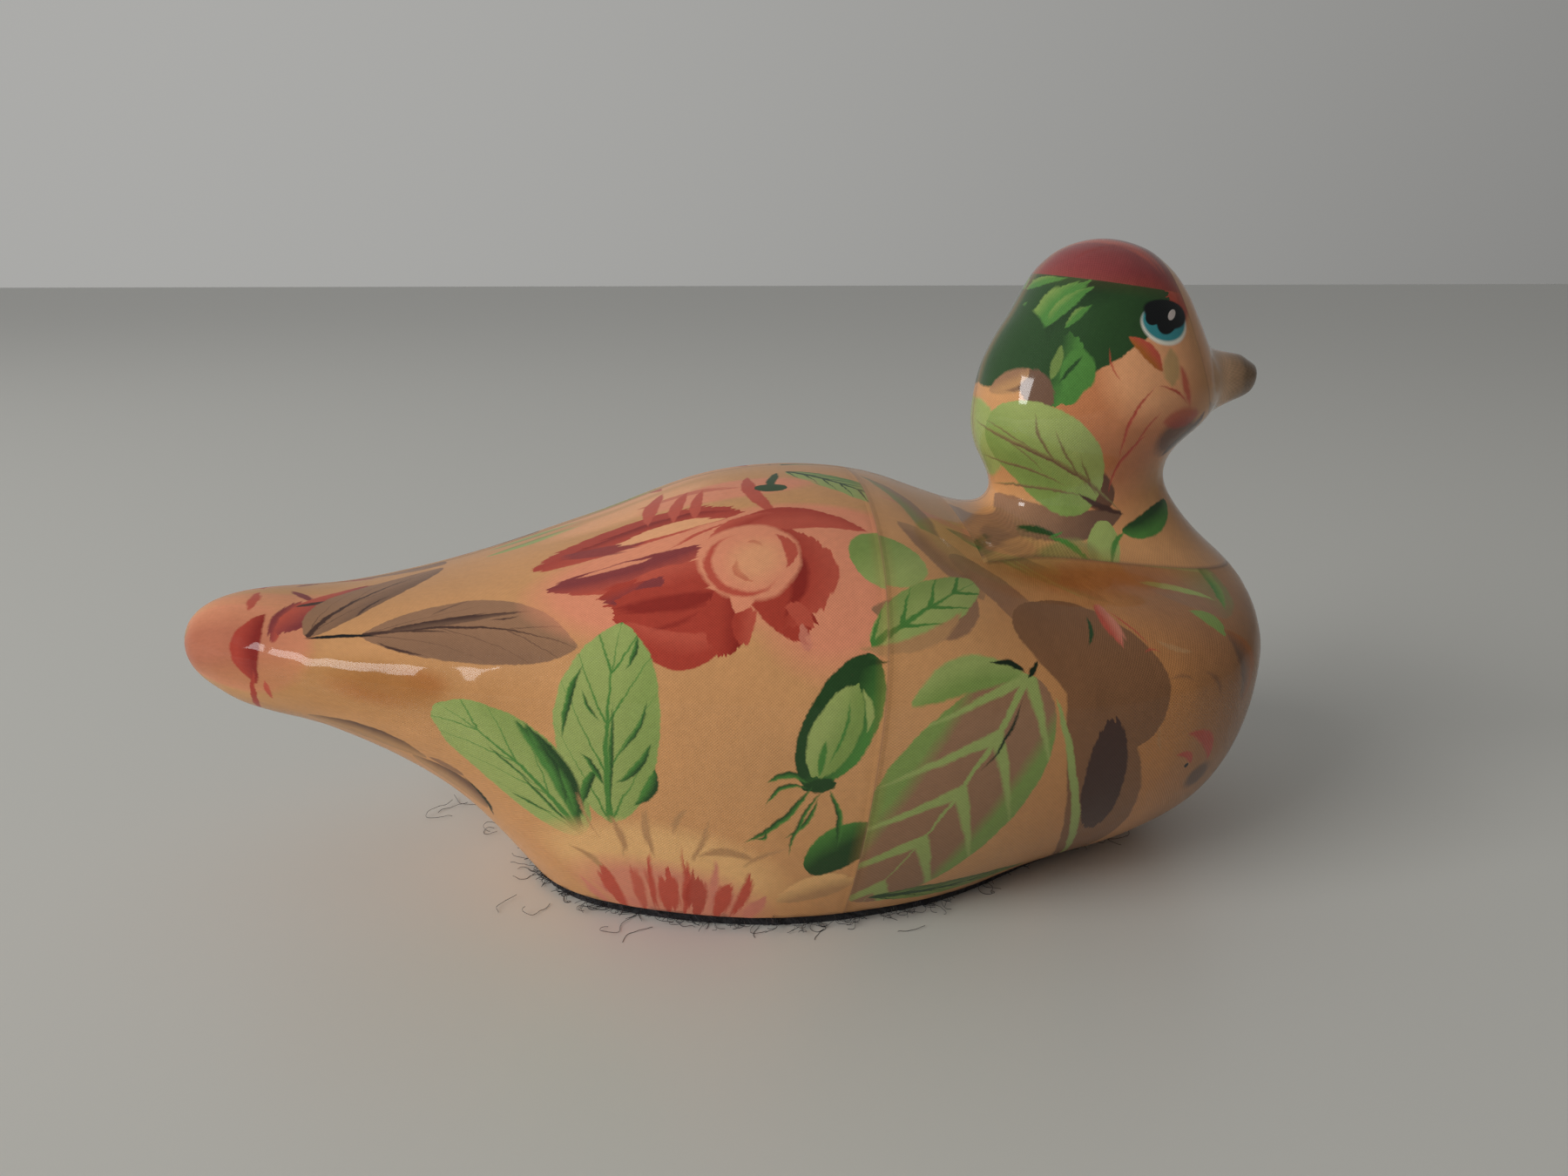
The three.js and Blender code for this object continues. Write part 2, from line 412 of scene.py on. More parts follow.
@dataclass(frozen=True)
class FlankLay(Lay):
    """Cloth wrapped round the long flank, along the duck and round its middle height."""

    middle_height: float = 40.0
    girth: float = 47.0
    widest: float = 2.0
    slimming: float = 118.0
    slimmest: float = 0.28

    def cloth(self, point: Vector) -> Vector:
        """The cloth's place: along the duck, and round the girth that narrows towards the tail.

        Args:
            point: A point of the duck in millimetres.

        Returns:
            Its place on the flat cloth.
        """
        away = min(abs(point.x - self.widest) / self.slimming, 1.0)
        radius = self.girth * max(math.sqrt(1 - away ** 2), self.slimmest)
        turn = math.atan2(point.z - self.middle_height, max(abs(point.y), TINY))
        return Vector((point.x, radius * turn, 0))


@dataclass(frozen=True)
class RoundLay(Lay):
    """Cloth smoothed over a round form from the middle of the patch outwards."""

    middle: tuple[float, float, float] = (0, 0, 0)
    radius: float = 20.0
    facing: tuple[float, float, float] = (0, -1, 0)

    def cloth(self, point: Vector) -> Vector:
        """The cloth's place: its distance from the patch's middle is the arc over the round form.

        Args:
            point: A point of the duck in millimetres.

        Returns:
            Its place on the flat cloth.
        """
        face = Vector(self.facing).normalized()
        right = Vector((-face.y, face.x, 0)).normalized()
        upward = face.cross(right)
        out = (point - Vector(self.middle)).normalized()
        across, up = out.dot(right), out.dot(upward)
        reach = math.hypot(across, up)
        arc = self.radius * math.atan2(reach, out.dot(face))
        if reach < 1e-6:
            return Vector((0, 0, 0))
        return Vector((across, up, 0)) * (arc / reach)


@dataclass(frozen=True)
class NeckLay(Lay):
    """Cloth wrapped round the upright neck and drawn in over the ball of the head."""

    axis: float = 68.0  # x of the neck's axis
    ball: float = 92.0  # height of the head's middle
    radius: float = 18.5
    highest: float = 0.99  # share of the radius where the cloth ends

    def cloth(self, point: Vector) -> Vector:
        """The cloth's place: round the neck, and up it or over the ball.

        Args:
            point: A point of the duck in millimetres.

        Returns:
            Its place on the flat cloth.
        """
        lift = min(max((point.z - self.ball) / self.radius, 0.0), self.highest)
        round_about = self.radius * math.atan2(point.x - self.axis, max(abs(point.y), TINY))
        if lift:
            return Vector((round_about * math.sqrt(1 - lift ** 2), self.radius * math.asin(lift), 0))
        return Vector((round_about, point.z - self.ball, 0))


@dataclass(frozen=True)
class Figure:
    """Something printed or painted on the cloth."""

    def bounds(self, spot: Spot) -> tuple[Vector, float]:
        """The middle and the radius of the cloth that it covers."""
        raise NotImplementedError

    def paint(self, cloth: "Cloth", spot: Spot) -> None:
        """Lays it over what the cloth shows."""
        raise NotImplementedError


@dataclass(frozen=True)
class Stroke(Figure):
    """A tapered brush stroke, or a petal when it is broad."""

    start: Pixel
    end: Pixel
    width: float  # mm at its middle
    dye: Dye
    bend: float = 0.0  # mm that its middle stands to the left of its run
    fullness: float = 0.7  # below 1 is blunt, above is slender
    edge: float = 0.35  # mm over which the colour ends
    feather: float = 0.0  # raggedness of its ends, as a share of its length
    shade: Dye | None = None
    shade_from: float = 0.0  # where along the width the shade starts, from -1 to 1
    shade_end: bool = False  # whether the shade runs along the stroke instead
    strength: float = 1.0
    streaks: float = 0.55  # streaks of a ragged end per mm of width
    seed_step: float = 0.37  # how far apart two strokes' streaks lie in the noise, per pixel
    shade_slope: float = 1.1  # how fast the shade comes in over the half width

    def bounds(self, spot: Spot) -> tuple[Vector, float]:
        """The circle round the stroke.

        Args:
            spot: Finds the cloth's place under a pixel.

        Returns:
            The circle's middle and its radius in millimetres.
        """
        a, b = spot(self.start), spot(self.end)
        reach = (b - a).length * (0.5 + self.feather) + self.width / 2 + abs(self.bend)
        return (a + b) / 2, reach + MARGIN

    def paint(self, cloth: "Cloth", spot: Spot) -> None:
        """Lays the stroke.

        Args:
            cloth: The cloth.
            spot: Finds the cloth's place under a pixel.
        """
        half = self.width / 2
        steep = half / self.edge
        values = cloth.run(spot(self.start), spot(self.end), half) | {
            "Bow": -ARCH * self.bend / half, "Fullness": self.fullness, "Peak": steep * ARCH ** self.fullness,
            "Steep": -steep, "Strength": self.strength, "Dye": self.dye.colour,
        }
        if self.feather:
            values |= {"Streaks": self.width * self.streaks, "Seed": self.start[0] * self.seed_step,
                       "Ragged": 2 * self.feather}
        if self.shade:
            values |= {"Shade": self.shade.colour, "Shade from": 0.5 - self.shade_from * self.shade_slope}
        draw = stroke_brush(bool(self.feather), bool(self.shade), self.shade_end and bool(self.shade))
        cloth.lay(draw, values)


def local_place(brush: Brush) -> Signal:
    """The brush's Place as seen from its Start, Turn and Size.

    Args:
        brush: A brush that takes Place, Start, Turn and Size.

    Returns:
        The place in its own frame.
    """
    inputs = {"Vector": brush["Place"], "Location": brush["Start"], "Rotation": brush["Turn"],
              "Scale": brush["Size"]}
    return brush.node("ShaderNodeMapping", {"vector_type": "TEXTURE"}, inputs)


def run_of(brush: Brush) -> tuple[Signal, Signal, Signal]:
    """How far the brush's Place lies along its run and across it, and the arch over the run.

    Args:
        brush: A brush that takes Place, Start, Turn and Size.

    Returns:
        Along from 0 to 1, across in half widths, and along times the rest, which is 0 at both ends.
    """
    along = brush.node("ShaderNodeSeparateXYZ", {}, {0: local_place(brush)})
    return along, along.other("Y"), along.fitted(-along, along)


@cache
def stroke_brush(ragged: bool, shaded: bool, lengthwise: bool) -> Brush:
    """The group that draws a stroke.

    Args:
        ragged: Whether its ends are feathered.
        shaded: Whether it runs into a second dye.
        lengthwise: Whether the second dye lies towards the end, and not to the left.

    Returns:
        The group, which gives the colour of the cloth with the stroke on it.
    """
    takes = Cloth.RUN | {"Bow": "number", "Fullness": "number", "Peak": "number", "Steep": "number",
                         "Strength": "number", "Dye": "colour"}
    if ragged:
        takes |= {"Streaks": "number", "Seed": "number", "Ragged": "number"}
    if shaded:
        takes |= {"Shade": "colour", "Shade from": "number"}
    brush = Brush("stroke", takes, {"Colour": "colour"})
    along, across, arch = run_of(brush)
    if ragged:
        inputs = {"W": across.fitted(brush["Streaks"], brush["Seed"]), "Scale": 1.0, "Detail": 1.5}
        streaks = brush.node("ShaderNodeTexNoise", {"noise_dimensions": "1D"}, inputs)
        along = (streaks - 0.5).fitted(brush["Ragged"], along)
        arch = along.fitted(-along, along)
    across = arch.fitted(brush["Bow"], across)
    outside = abs(across).fitted(brush["Steep"], -EDGE_DROP)
    mask = (arch ** brush["Fullness"]).fitted(brush["Peak"], outside, clamp=True) * brush["Strength"]
    dye = brush["Dye"]
    if shaded:
        way = along.fitted(2.0, -1.0) if lengthwise else across
        share = way.fitted(Stroke.shade_slope, brush["Shade from"], clamp=True)
        dye = brush.mix(share, dye, brush["Shade"])
    brush.give("Colour", brush.mix(mask, brush["Under"], dye))
    return brush


@dataclass(frozen=True)
class Blot(Figure):
    """An oval, with a crisp or a soft edge: a petal's cup, a stain, a painted spot or painted shade."""

    middle: Pixel
    across: float  # mm, half size
    up: float  # mm, half size
    dye: Dye
    turn: float = 0.0  # degrees
    softness: float = 0.12  # the edge's width as a share of the half size
    strength: float = 1.0
    painted: bool = False  # whether a smooth brush laid it, and not the printer

    def bounds(self, spot: Spot) -> tuple[Vector, float]:
        """The circle round the oval."""
        return spot(self.middle), max(self.across, self.up) * (1 + self.softness) + MARGIN

    def paint(self, cloth: "Cloth", spot: Spot) -> None:
        """Lays the oval.

        Args:
            cloth: The cloth.
            spot: Finds the cloth's place under a pixel.
        """
        steep = 1 / self.softness
        cloth.lay(blot_brush(), ({"Place": cloth.flat} if self.painted else {}) | {
            "Start": spot(self.middle), "Turn": (0, 0, math.radians(self.turn)),
            "Size": (self.across, self.up, 1.0), "Steep": -steep, "Peak": steep + 0.5,
            "Strength": self.strength, "Dye": self.dye.colour,
        })


@cache
def blot_brush() -> Brush:
    """The group that draws an oval.

    Returns:
        The group, which gives the colour of the cloth with the oval on it.
    """
    takes = Cloth.RUN | {"Peak": "number", "Steep": "number", "Strength": "number", "Dye": "colour"}
    brush = Brush("blot", takes, {"Colour": "colour"})
    reach = brush.vector("LENGTH", {0: local_place(brush)}, "Value")
    mask = reach.fitted(brush["Steep"], brush["Peak"], clamp=True) * brush["Strength"]
    brush.give("Colour", brush.mix(mask, brush["Under"], brush["Dye"]))
    return brush


@dataclass(frozen=True)
class Leaf(Figure):
    """A leaf with a midrib, side veins and a darker half."""

    stem: Pixel
    tip: Pixel
    width: float
    body: Dye
    shade: Dye
    vein: Dye
    bend: float = 0.0
    fullness: float = 0.62
    pairs: float = 5.0  # side veins on each side
    sweep: float = 0.28  # how far a side vein runs towards the tip
    vein_width: float = 0.16  # share of the space between veins
    shade_side: float = 1.0  # the half that is darker
    shade_strength: float = 0.7
    rim: Dye | None = None
    edge: float = 0.3  # mm over which the colour ends
    shade_slope: float = 1.3

    def bounds(self, spot: Spot) -> tuple[Vector, float]:
        """The circle round the leaf."""
        a, b = spot(self.stem), spot(self.tip)
        return (a + b) / 2, (b - a).length / 2 + self.width / 3 + abs(self.bend) + MARGIN

    def paint(self, cloth: "Cloth", spot: Spot) -> None:
        """Lays the leaf with its veins.

        Args:
            cloth: The cloth.
            spot: Finds the cloth's place under a pixel.
        """
        half = self.width / 2
        steep = half / self.edge
        cloth.lay(leaf_brush(Veining()), cloth.run(spot(self.stem), spot(self.tip), half) | {
            "Bow": -ARCH * self.bend / half, "Fullness": self.fullness, "Peak": steep * ARCH ** self.fullness,
            "Steep": -steep, "Dye": self.body.colour, "Shade": self.shade.colour, "Vein": self.vein.colour,
            "Rim": (self.rim or self.body).colour, "Rim strength": 1.0 if self.rim else 0.0,
            "Shade side": self.shade_side * self.shade_slope, "Shade strength": self.shade_strength,
            "Pairs": self.pairs, "Sweep": -self.sweep * self.pairs, "Vein width": self.vein_width,
        })


@dataclass(frozen=True)
class Veining:
    """How a leaf's rim, midrib and side veins are drawn, over its half width or its length."""

    rim_slope: float = 5.0
    rim_start: float = 2.6
    vein_taper: float = 0.8
    vein_crispness: float = 14.0
    rib_taper: float = 2.2
    rib_width: float = 2.6


@cache
def leaf_brush(veining: Veining) -> Brush:
    """The group that draws a leaf.

    Args:
        veining: How its veins and its rim are drawn.

    Returns:
        The group, which gives the colour of the cloth with the leaf on it.
    """
    numbers = ("Bow", "Fullness", "Peak", "Steep", "Rim strength", "Shade side", "Shade strength", "Pairs",
               "Sweep", "Vein width")
    dyes = ("Dye", "Shade", "Vein", "Rim")
    takes = Cloth.RUN | dict.fromkeys(numbers, "number") | dict.fromkeys(dyes, "colour")
    brush = Brush("leaf", takes, {"Colour": "colour"})
    along, across, arch = run_of(brush)
    across = arch.fitted(brush["Bow"], across)
    out = abs(across)
    outside = out.fitted(brush["Steep"], -EDGE_DROP)
    mask = (arch ** brush["Fullness"]).fitted(brush["Peak"], outside, clamp=True)
    dark = across.fitted(brush["Shade side"], 0.1, clamp=True) * brush["Shade strength"]
    colour = brush.mix(dark, brush["Dye"], brush["Shade"])
    rim = out.fitted(veining.rim_slope, -veining.rim_start, clamp=True)
    colour = brush.mix(rim * brush["Rim strength"], colour, brush["Rim"])
    row = out.fitted(brush["Sweep"], along * brush["Pairs"]).math("PINGPONG", 0.5)
    taper = out.fitted(-veining.vein_taper, 1.0) * brush["Vein width"]
    veins = ((taper - row) * veining.vein_crispness).math("MINIMUM", 1.0, clamp=True)
    rib = out.fitted(brush["Steep"], along.fitted(-veining.rib_taper, veining.rib_width), clamp=True)
    colour = brush.mix(veins.math("MAXIMUM", rib), colour, brush["Vein"])
    brush.give("Colour", brush.mix(mask, brush["Under"], colour))
    return brush


@dataclass(frozen=True)
class Eye(Figure):
    """The painted eye: a white edge below, a teal iris, a black lid and pupil, and a dab of light."""

    middle: Pixel
    across: float = 5.1
    up: float = 4.2
    turn: float = 20.0
    room: float = 2.5  # mm round it
    # Half width, half height, place to the right and place upwards, as shares of the eye's own half sizes.
    shapes: tuple[tuple[float, float, float, float, Dye], ...] = (
        (0.98, 0.9, 0.07, -0.15, Dye.WHITE),
        (0.92, 0.86, 0.02, -0.02, Dye.TEAL),
        (0.94, 0.66, -0.05, 0.34, Dye.BLACK),
        (0.30, 0.42, -0.50, 0.0, Dye.BLACK),
        (0.42, 0.62, 0.10, 0.02, Dye.BLACK),
        (0.15, 0.27, 0.16, 0.36, Dye.GLINT),
    )

    def bounds(self, spot: Spot) -> tuple[Vector, float]:
        """The circle round the eye."""
        return spot(self.middle), self.across + self.room

    def paint(self, cloth: "Cloth", spot: Spot) -> None:
        """Lays the eye's shapes one over another.

        Args:
            cloth: The cloth.
            spot: Finds the cloth's place under a pixel.
        """
        middle = spot(self.middle)
        turn = Matrix.Rotation(math.radians(-self.turn), 3, "Z")
        for across, up, right, lift, dye in self.shapes:
            place = middle + turn @ Vector((right * self.across, lift * self.up, 0))
            oval = Blot(self.middle, across * self.across, up * self.up, dye, -self.turn, painted=True)
            oval.paint(cloth, lambda _, place=place: place)


@dataclass(frozen=True)
class Lacquer:
    """Clear gloss lacquer over woven cotton."""

    cotton_roughness: float = 0.5
    roughness_spread: float = 0.2
    coat_roughness: float = 0.06
    coat_ior: float = 1.45
    cotton_shine: float = 0.1
    thread_pitch: float = 0.52  # mm
    weave_gap_painted_shade: float = 0.11  # painted shade: how much darker the colour is drawn in the gaps between threads
    slub_shade: float = 0.18  # how much one thread differs from another
    darkest_slub: float = 0.89
    thread_depth: float = 0.018 * MM
    lump_depth: float = 0.25 * MM
    slub_scale: float = 0.9  # per mm, as are the other scales
    haze_scale: float = 0.11
    lump_scale: float = 0.16

    def dress(self, cloth: "Cloth", gloss: float) -> None:
        """Sets the material's surface from the printed colour.

        Args:
            cloth: The printed cloth.
            gloss: How much of it the lacquer covers thickly, from 0 to 1.
        """
        colour = lacquer_brush(self).used(cloth.shader, {"Flat": cloth.flat, "Print": cloth.colour,
                                                         "Relief": cloth.relief})
        cloth.shader.set(Base_Color=colour, Roughness=colour.other("Roughness"),
                         Normal=colour.other("Normal"), Coat_Weight=gloss, Coat_Roughness=self.coat_roughness,
                         Coat_IOR=self.coat_ior, Specular_IOR_Level=self.cotton_shine)


@cache
def lacquer_brush(lacquer: Lacquer) -> Brush:
    """The group that turns the print into a woven, lacquered surface, with painted shade in the gaps between
    threads.

    Args:
        lacquer: The lacquer and the weave under it.

    Returns:
        The group, which gives the surface.
    """
    brush = Brush("lacquered_cotton", {"Flat": "vector", "Print": "colour", "Relief": "number"},
                  {"Colour": "colour", "Roughness": "number", "Normal": "vector"})
    flat = brush["Flat"]
    u = brush.node("ShaderNodeSeparateXYZ", {}, {0: flat})
    turn = 2 * math.pi / lacquer.thread_pitch
    weave = (u * turn).math("SINE") * (u.other("Y") * turn).math("SINE")
    slubs = brush.noise(flat, lacquer.slub_scale, 2.0)
    # The gaps between threads are darkened in the colour as painted shade; the slubs vary each thread's own
    # tone.
    thread = weave.fitted(lacquer.weave_gap_painted_shade, slubs.fitted(lacquer.slub_shade, lacquer.darkest_slub))
    brush.give("Colour", brush.vector("SCALE", {0: brush["Print"], "Scale": thread}))
    spread = lacquer.roughness_spread
    smoothest = lacquer.cotton_roughness - spread / 2
    haze = brush.noise(flat, lacquer.haze_scale, 3.0)
    brush.give("Roughness", haze.fitted(spread, smoothest))
    lumps = brush.noise(flat, lacquer.lump_scale, 2.0) * lacquer.lump_depth
    height = weave.fitted(lacquer.thread_depth, brush["Relief"]) + lumps
    inputs = {"Height": height, "Distance": 1.0, "Strength": 1.0}
    brush.give("Normal", brush.node("ShaderNodeBump", {}, inputs))
    return brush


@dataclass(frozen=True)
class CutEdge:
    """How a cut edge of cloth over the next patch looks. The fades are per millimetre away from the cut."""

    line_fade: float = 3.0
    line_strength: float = 0.5
    glue_fade: float = 0.45
    glue_strength: float = 0.3
    step: float = 0.16 * MM  # the cloth's thickness
    step_rise: float = 2.0
    ridge: float = 0.1 * MM
    ridge_fade: float = 1.2


@cache
def seam_brush(edge: CutEdge) -> Brush:
    """The group that draws a cut edge of cloth over the next patch, with glue along it.

    Args:
        edge: How the cut edge looks.

    Returns:
        The group, which gives the colour and the relief.
    """
    takes = {"Away": "number", "Under": "colour", "Relief": "number", "Strength": "number"}
    brush = Brush("cut_edge", takes, {"Colour": "colour", "Relief": "number"})
    away, strength = brush["Away"], brush["Strength"]
    out = abs(away)
    line = out.fitted(-edge.line_fade, 1.1, clamp=True) * strength * edge.line_strength
    stain = out.fitted(-edge.glue_fade, 1.0, clamp=True) * strength * edge.glue_strength
    colour = brush.mix(stain, brush["Under"], Dye.GLUE.colour)
    brush.give("Colour", brush.mix(line, colour, Dye.UMBER.colour))
    ridge = out.fitted(-edge.ridge_fade, 1.0, clamp=True) * edge.ridge
    step = away.fitted(edge.step_rise, 0.5, clamp=True).fitted(edge.step, ridge)
    brush.give("Relief", (step * strength) + brush["Relief"])
    return brush


@dataclass(frozen=True)
class Cotton:
    """The bare printed cotton: its peach ground, its glue stains, and how far a printed edge strays."""

    wander: float = 0.55  # mm by which hand-drawn edges stray
    wander_scale: float = 0.22  # per mm, as are the other scales
    twitch: float = 0.22  # mm of finer straying, as the threads take up the dye
    twitch_scale: float = 1.6
    stain_scale: float = 0.045
    stain_contrast: float = 2.4
    stain_level: float = 0.85
    stain_strength: float = 0.35
    glue_scale: float = 0.028
    glue_contrast: float = 6.0
    glue_level: float = 3.7
    glue_strength: float = 0.45
    speck_scale: float = 0.14
    speck_size: float = 0.18
    speck_fade: float = 4.0
    speck_strength: float = 0.8


@cache
def cotton_brush(cotton: Cotton) -> Brush:
    """The group that gives the ground colour and the place that printed figures are drawn at.

    Args:
        cotton: How the bare cloth looks.

    Returns:
        The group, which gives the colour and the place.
    """
    brush = Brush("cotton_ground", {"Flat": "vector"}, {"Colour": "colour", "Place": "vector"})
    flat = brush["Flat"]
    place = flat
    strays = ((cotton.wander_scale, 3.0, cotton.wander), (cotton.twitch_scale, 1.0, cotton.twitch))
    for scale, detail, size in strays:
        stray = brush.noise(flat, scale, detail, "Color")
        place = brush.vector("MULTIPLY_ADD", {0: stray, 1: (2 * size, 2 * size, 0), 2: place})
    back = -cotton.wander - cotton.twitch
    brush.give("Place", brush.vector("ADD", {0: place, 1: (back, back, 0)}))
    stains = brush.noise(flat, cotton.stain_scale, 3.0)
    stains = stains.fitted(cotton.stain_contrast, -cotton.stain_level, clamp=True)
    colour = brush.mix(stains * cotton.stain_strength, Dye.GROUND.colour, Dye.TAN.colour)
    glue = brush.noise(flat, cotton.glue_scale, 4.0)
    glue = glue.fitted(cotton.glue_contrast, -cotton.glue_level, clamp=True)
    brush.give("Colour", brush.mix(glue * cotton.glue_strength, colour, Dye.GLUE.colour))
    return brush


@dataclass(frozen=True)
class BillPaint:
    """Paint that starts behind the bill and is darker towards its tip."""

    starts: float = 87.0  # mm along the duck
    darkens: float = 94.0
    pale_rise: float = 0.3  # share of the paint that each mm adds
    dark_rise: float = 0.22
    pale_most: float = 0.6
    dark_most: float = 0.9
    raggedness: float = 3.0  # mm


class Cloth:
    """One stretch of printed cloth: its material, and what has been laid on it so far."""

    RUN = {"Place": "vector", "Under": "colour", "Start": "vector", "Turn": "vector", "Size": "vector"}

    def __init__(self, name: str) -> None:
        """Starts a material of that name with the bare ground colour.

        Args:
            name: The material's name.
        """
        self.shader = Shader(name)
        self.flat = self.shader.node("ShaderNodeUVMap", {"uv_map": "cloth"})
        self.cotton = Cotton()
        self.colour = cotton_brush(self.cotton).used(self.shader, {"Flat": self.flat})
        self.place = self.colour.other("Place")
        self.relief: Signal | float = 0.0

    @staticmethod
    def run(start: Vector, end: Vector, half_width: float) -> dict[str, tuple | Vector]:
        """The values that set a brush's run from one place to another.

        Args:
            start: Where it begins on the cloth.
            end: Where it ends.
            half_width: Half its width in millimetres.

        Returns:
            The values by the names of the brush's sockets.
        """
        way = end - start
        turn = (0, 0, math.atan2(way.y, way.x))
        return {"Start": start, "Turn": turn, "Size": (way.length, half_width, 1.0)}

    def lay(self, brush: Brush, values: dict) -> None:
        """Draws a figure over what is there."""
        self.colour = brush.used(self.shader, {"Place": self.place} | values | {"Under": self.colour})

    def cut(self, seams: Iterable["Seam"]) -> None:
        """Lays the overlapped cut edges of the patch, each with its line of glue.

        Args:
            seams: The cuts round the patch.
        """
        body = self.shader.node("ShaderNodeTexCoord", {}, {}, "Object")
        for seam in seams:
            normal = Vector(seam.normal).normalized()
            offset = -normal.dot(Vector(seam.point))
            away = self.shader.vector("DOT_PRODUCT", {0: body, 1: normal / MM}, "Value") + offset
            inputs = {"Away": away, "Under": self.colour, "Relief": self.relief}
            if seam.only_from is not None:
                along = self.shader.node("ShaderNodeSeparateXYZ", {}, {0: body})
                inputs["Strength"] = along.fitted(1 / MM, -seam.only_from, clamp=True)
            else:
                inputs["Strength"] = seam.strength
            self.colour = seam_brush(CutEdge()).used(self.shader, inputs)
            self.relief = self.colour.other("Relief")

    def paint_bill(self, paint: BillPaint) -> None:
        """Paints the bill.

        Args:
            paint: Where the paint starts and how it darkens.
        """
        body = self.shader.node("ShaderNodeTexCoord", {}, {}, "Object")
        along = self.shader.node("ShaderNodeSeparateXYZ", {}, {0: body}) / MM
        rough = self.shader.noise(body, 260.0, 3.0).fitted(paint.raggedness, -paint.raggedness / 2)
        for start, rise, most, dye in ((paint.starts, paint.pale_rise, paint.pale_most, Dye.BILL),
                                       (paint.darkens, paint.dark_rise, paint.dark_most, Dye.BILL_TIP)):
            share = ((along - start + rough) * rise).math("MINIMUM", most, clamp=True)
            self.colour = self.shader.mix(share, self.colour, dye.colour)

    def specks(self) -> None:
        """Lays small dark specks of the print."""
        cotton = self.cotton
        inputs = {"Vector": self.place, "Scale": cotton.speck_scale}
        cells = self.shader.node("ShaderNodeTexVoronoi", {}, inputs)
        dots = cells.fitted(-cotton.speck_fade, cotton.speck_size, clamp=True)
        self.colour = self.shader.mix(dots * cotton.speck_strength, self.colour, Dye.SPECK.colour)


@dataclass
class Patch:
    """A patch of cloth: its lay, the figures on it, and which part of the duck it covers."""

    name: str
    lay: Lay
    side: Side
    figures: list[Figure] = field(default_factory=list)
    gloss: float = 1.0
    shift: tuple[float, float] = (0.0, 0.0)  # mm that the print lies off the mirrored print of the other side


@dataclass(frozen=True)
class Seam:
    """A straight cut between two patches, as a plane in millimetres."""

    point: tuple[float, float, float]
    normal: tuple[float, float, float]
    only_from: float | None = None  # x from which the cut runs, where it doesn't go all round
    strength: float = 1.0  # how much its line and its glue show

    def beyond(self, point: Vector) -> bool:
        """Whether a point lies on the side that the normal shows."""
        return (point - Vector(self.point)).dot(Vector(self.normal)) > 0


def strokes(rows: Iterable[tuple], **look: Dye | float) -> list[Figure]:
    """Strokes that share a look.

    Args:
        rows: The start, the end, the width, the dye where the look has none, and the bend of each stroke.
        look: What all of them share.

    Returns:
        The strokes in the order of the rows.
    """
    if "dye" in look:
        return [Stroke(start, end, width, bend=bend, **look) for start, end, width, bend in rows]
    return [Stroke(start, end, width, dye, bend, **look) for start, end, width, dye, bend in rows]


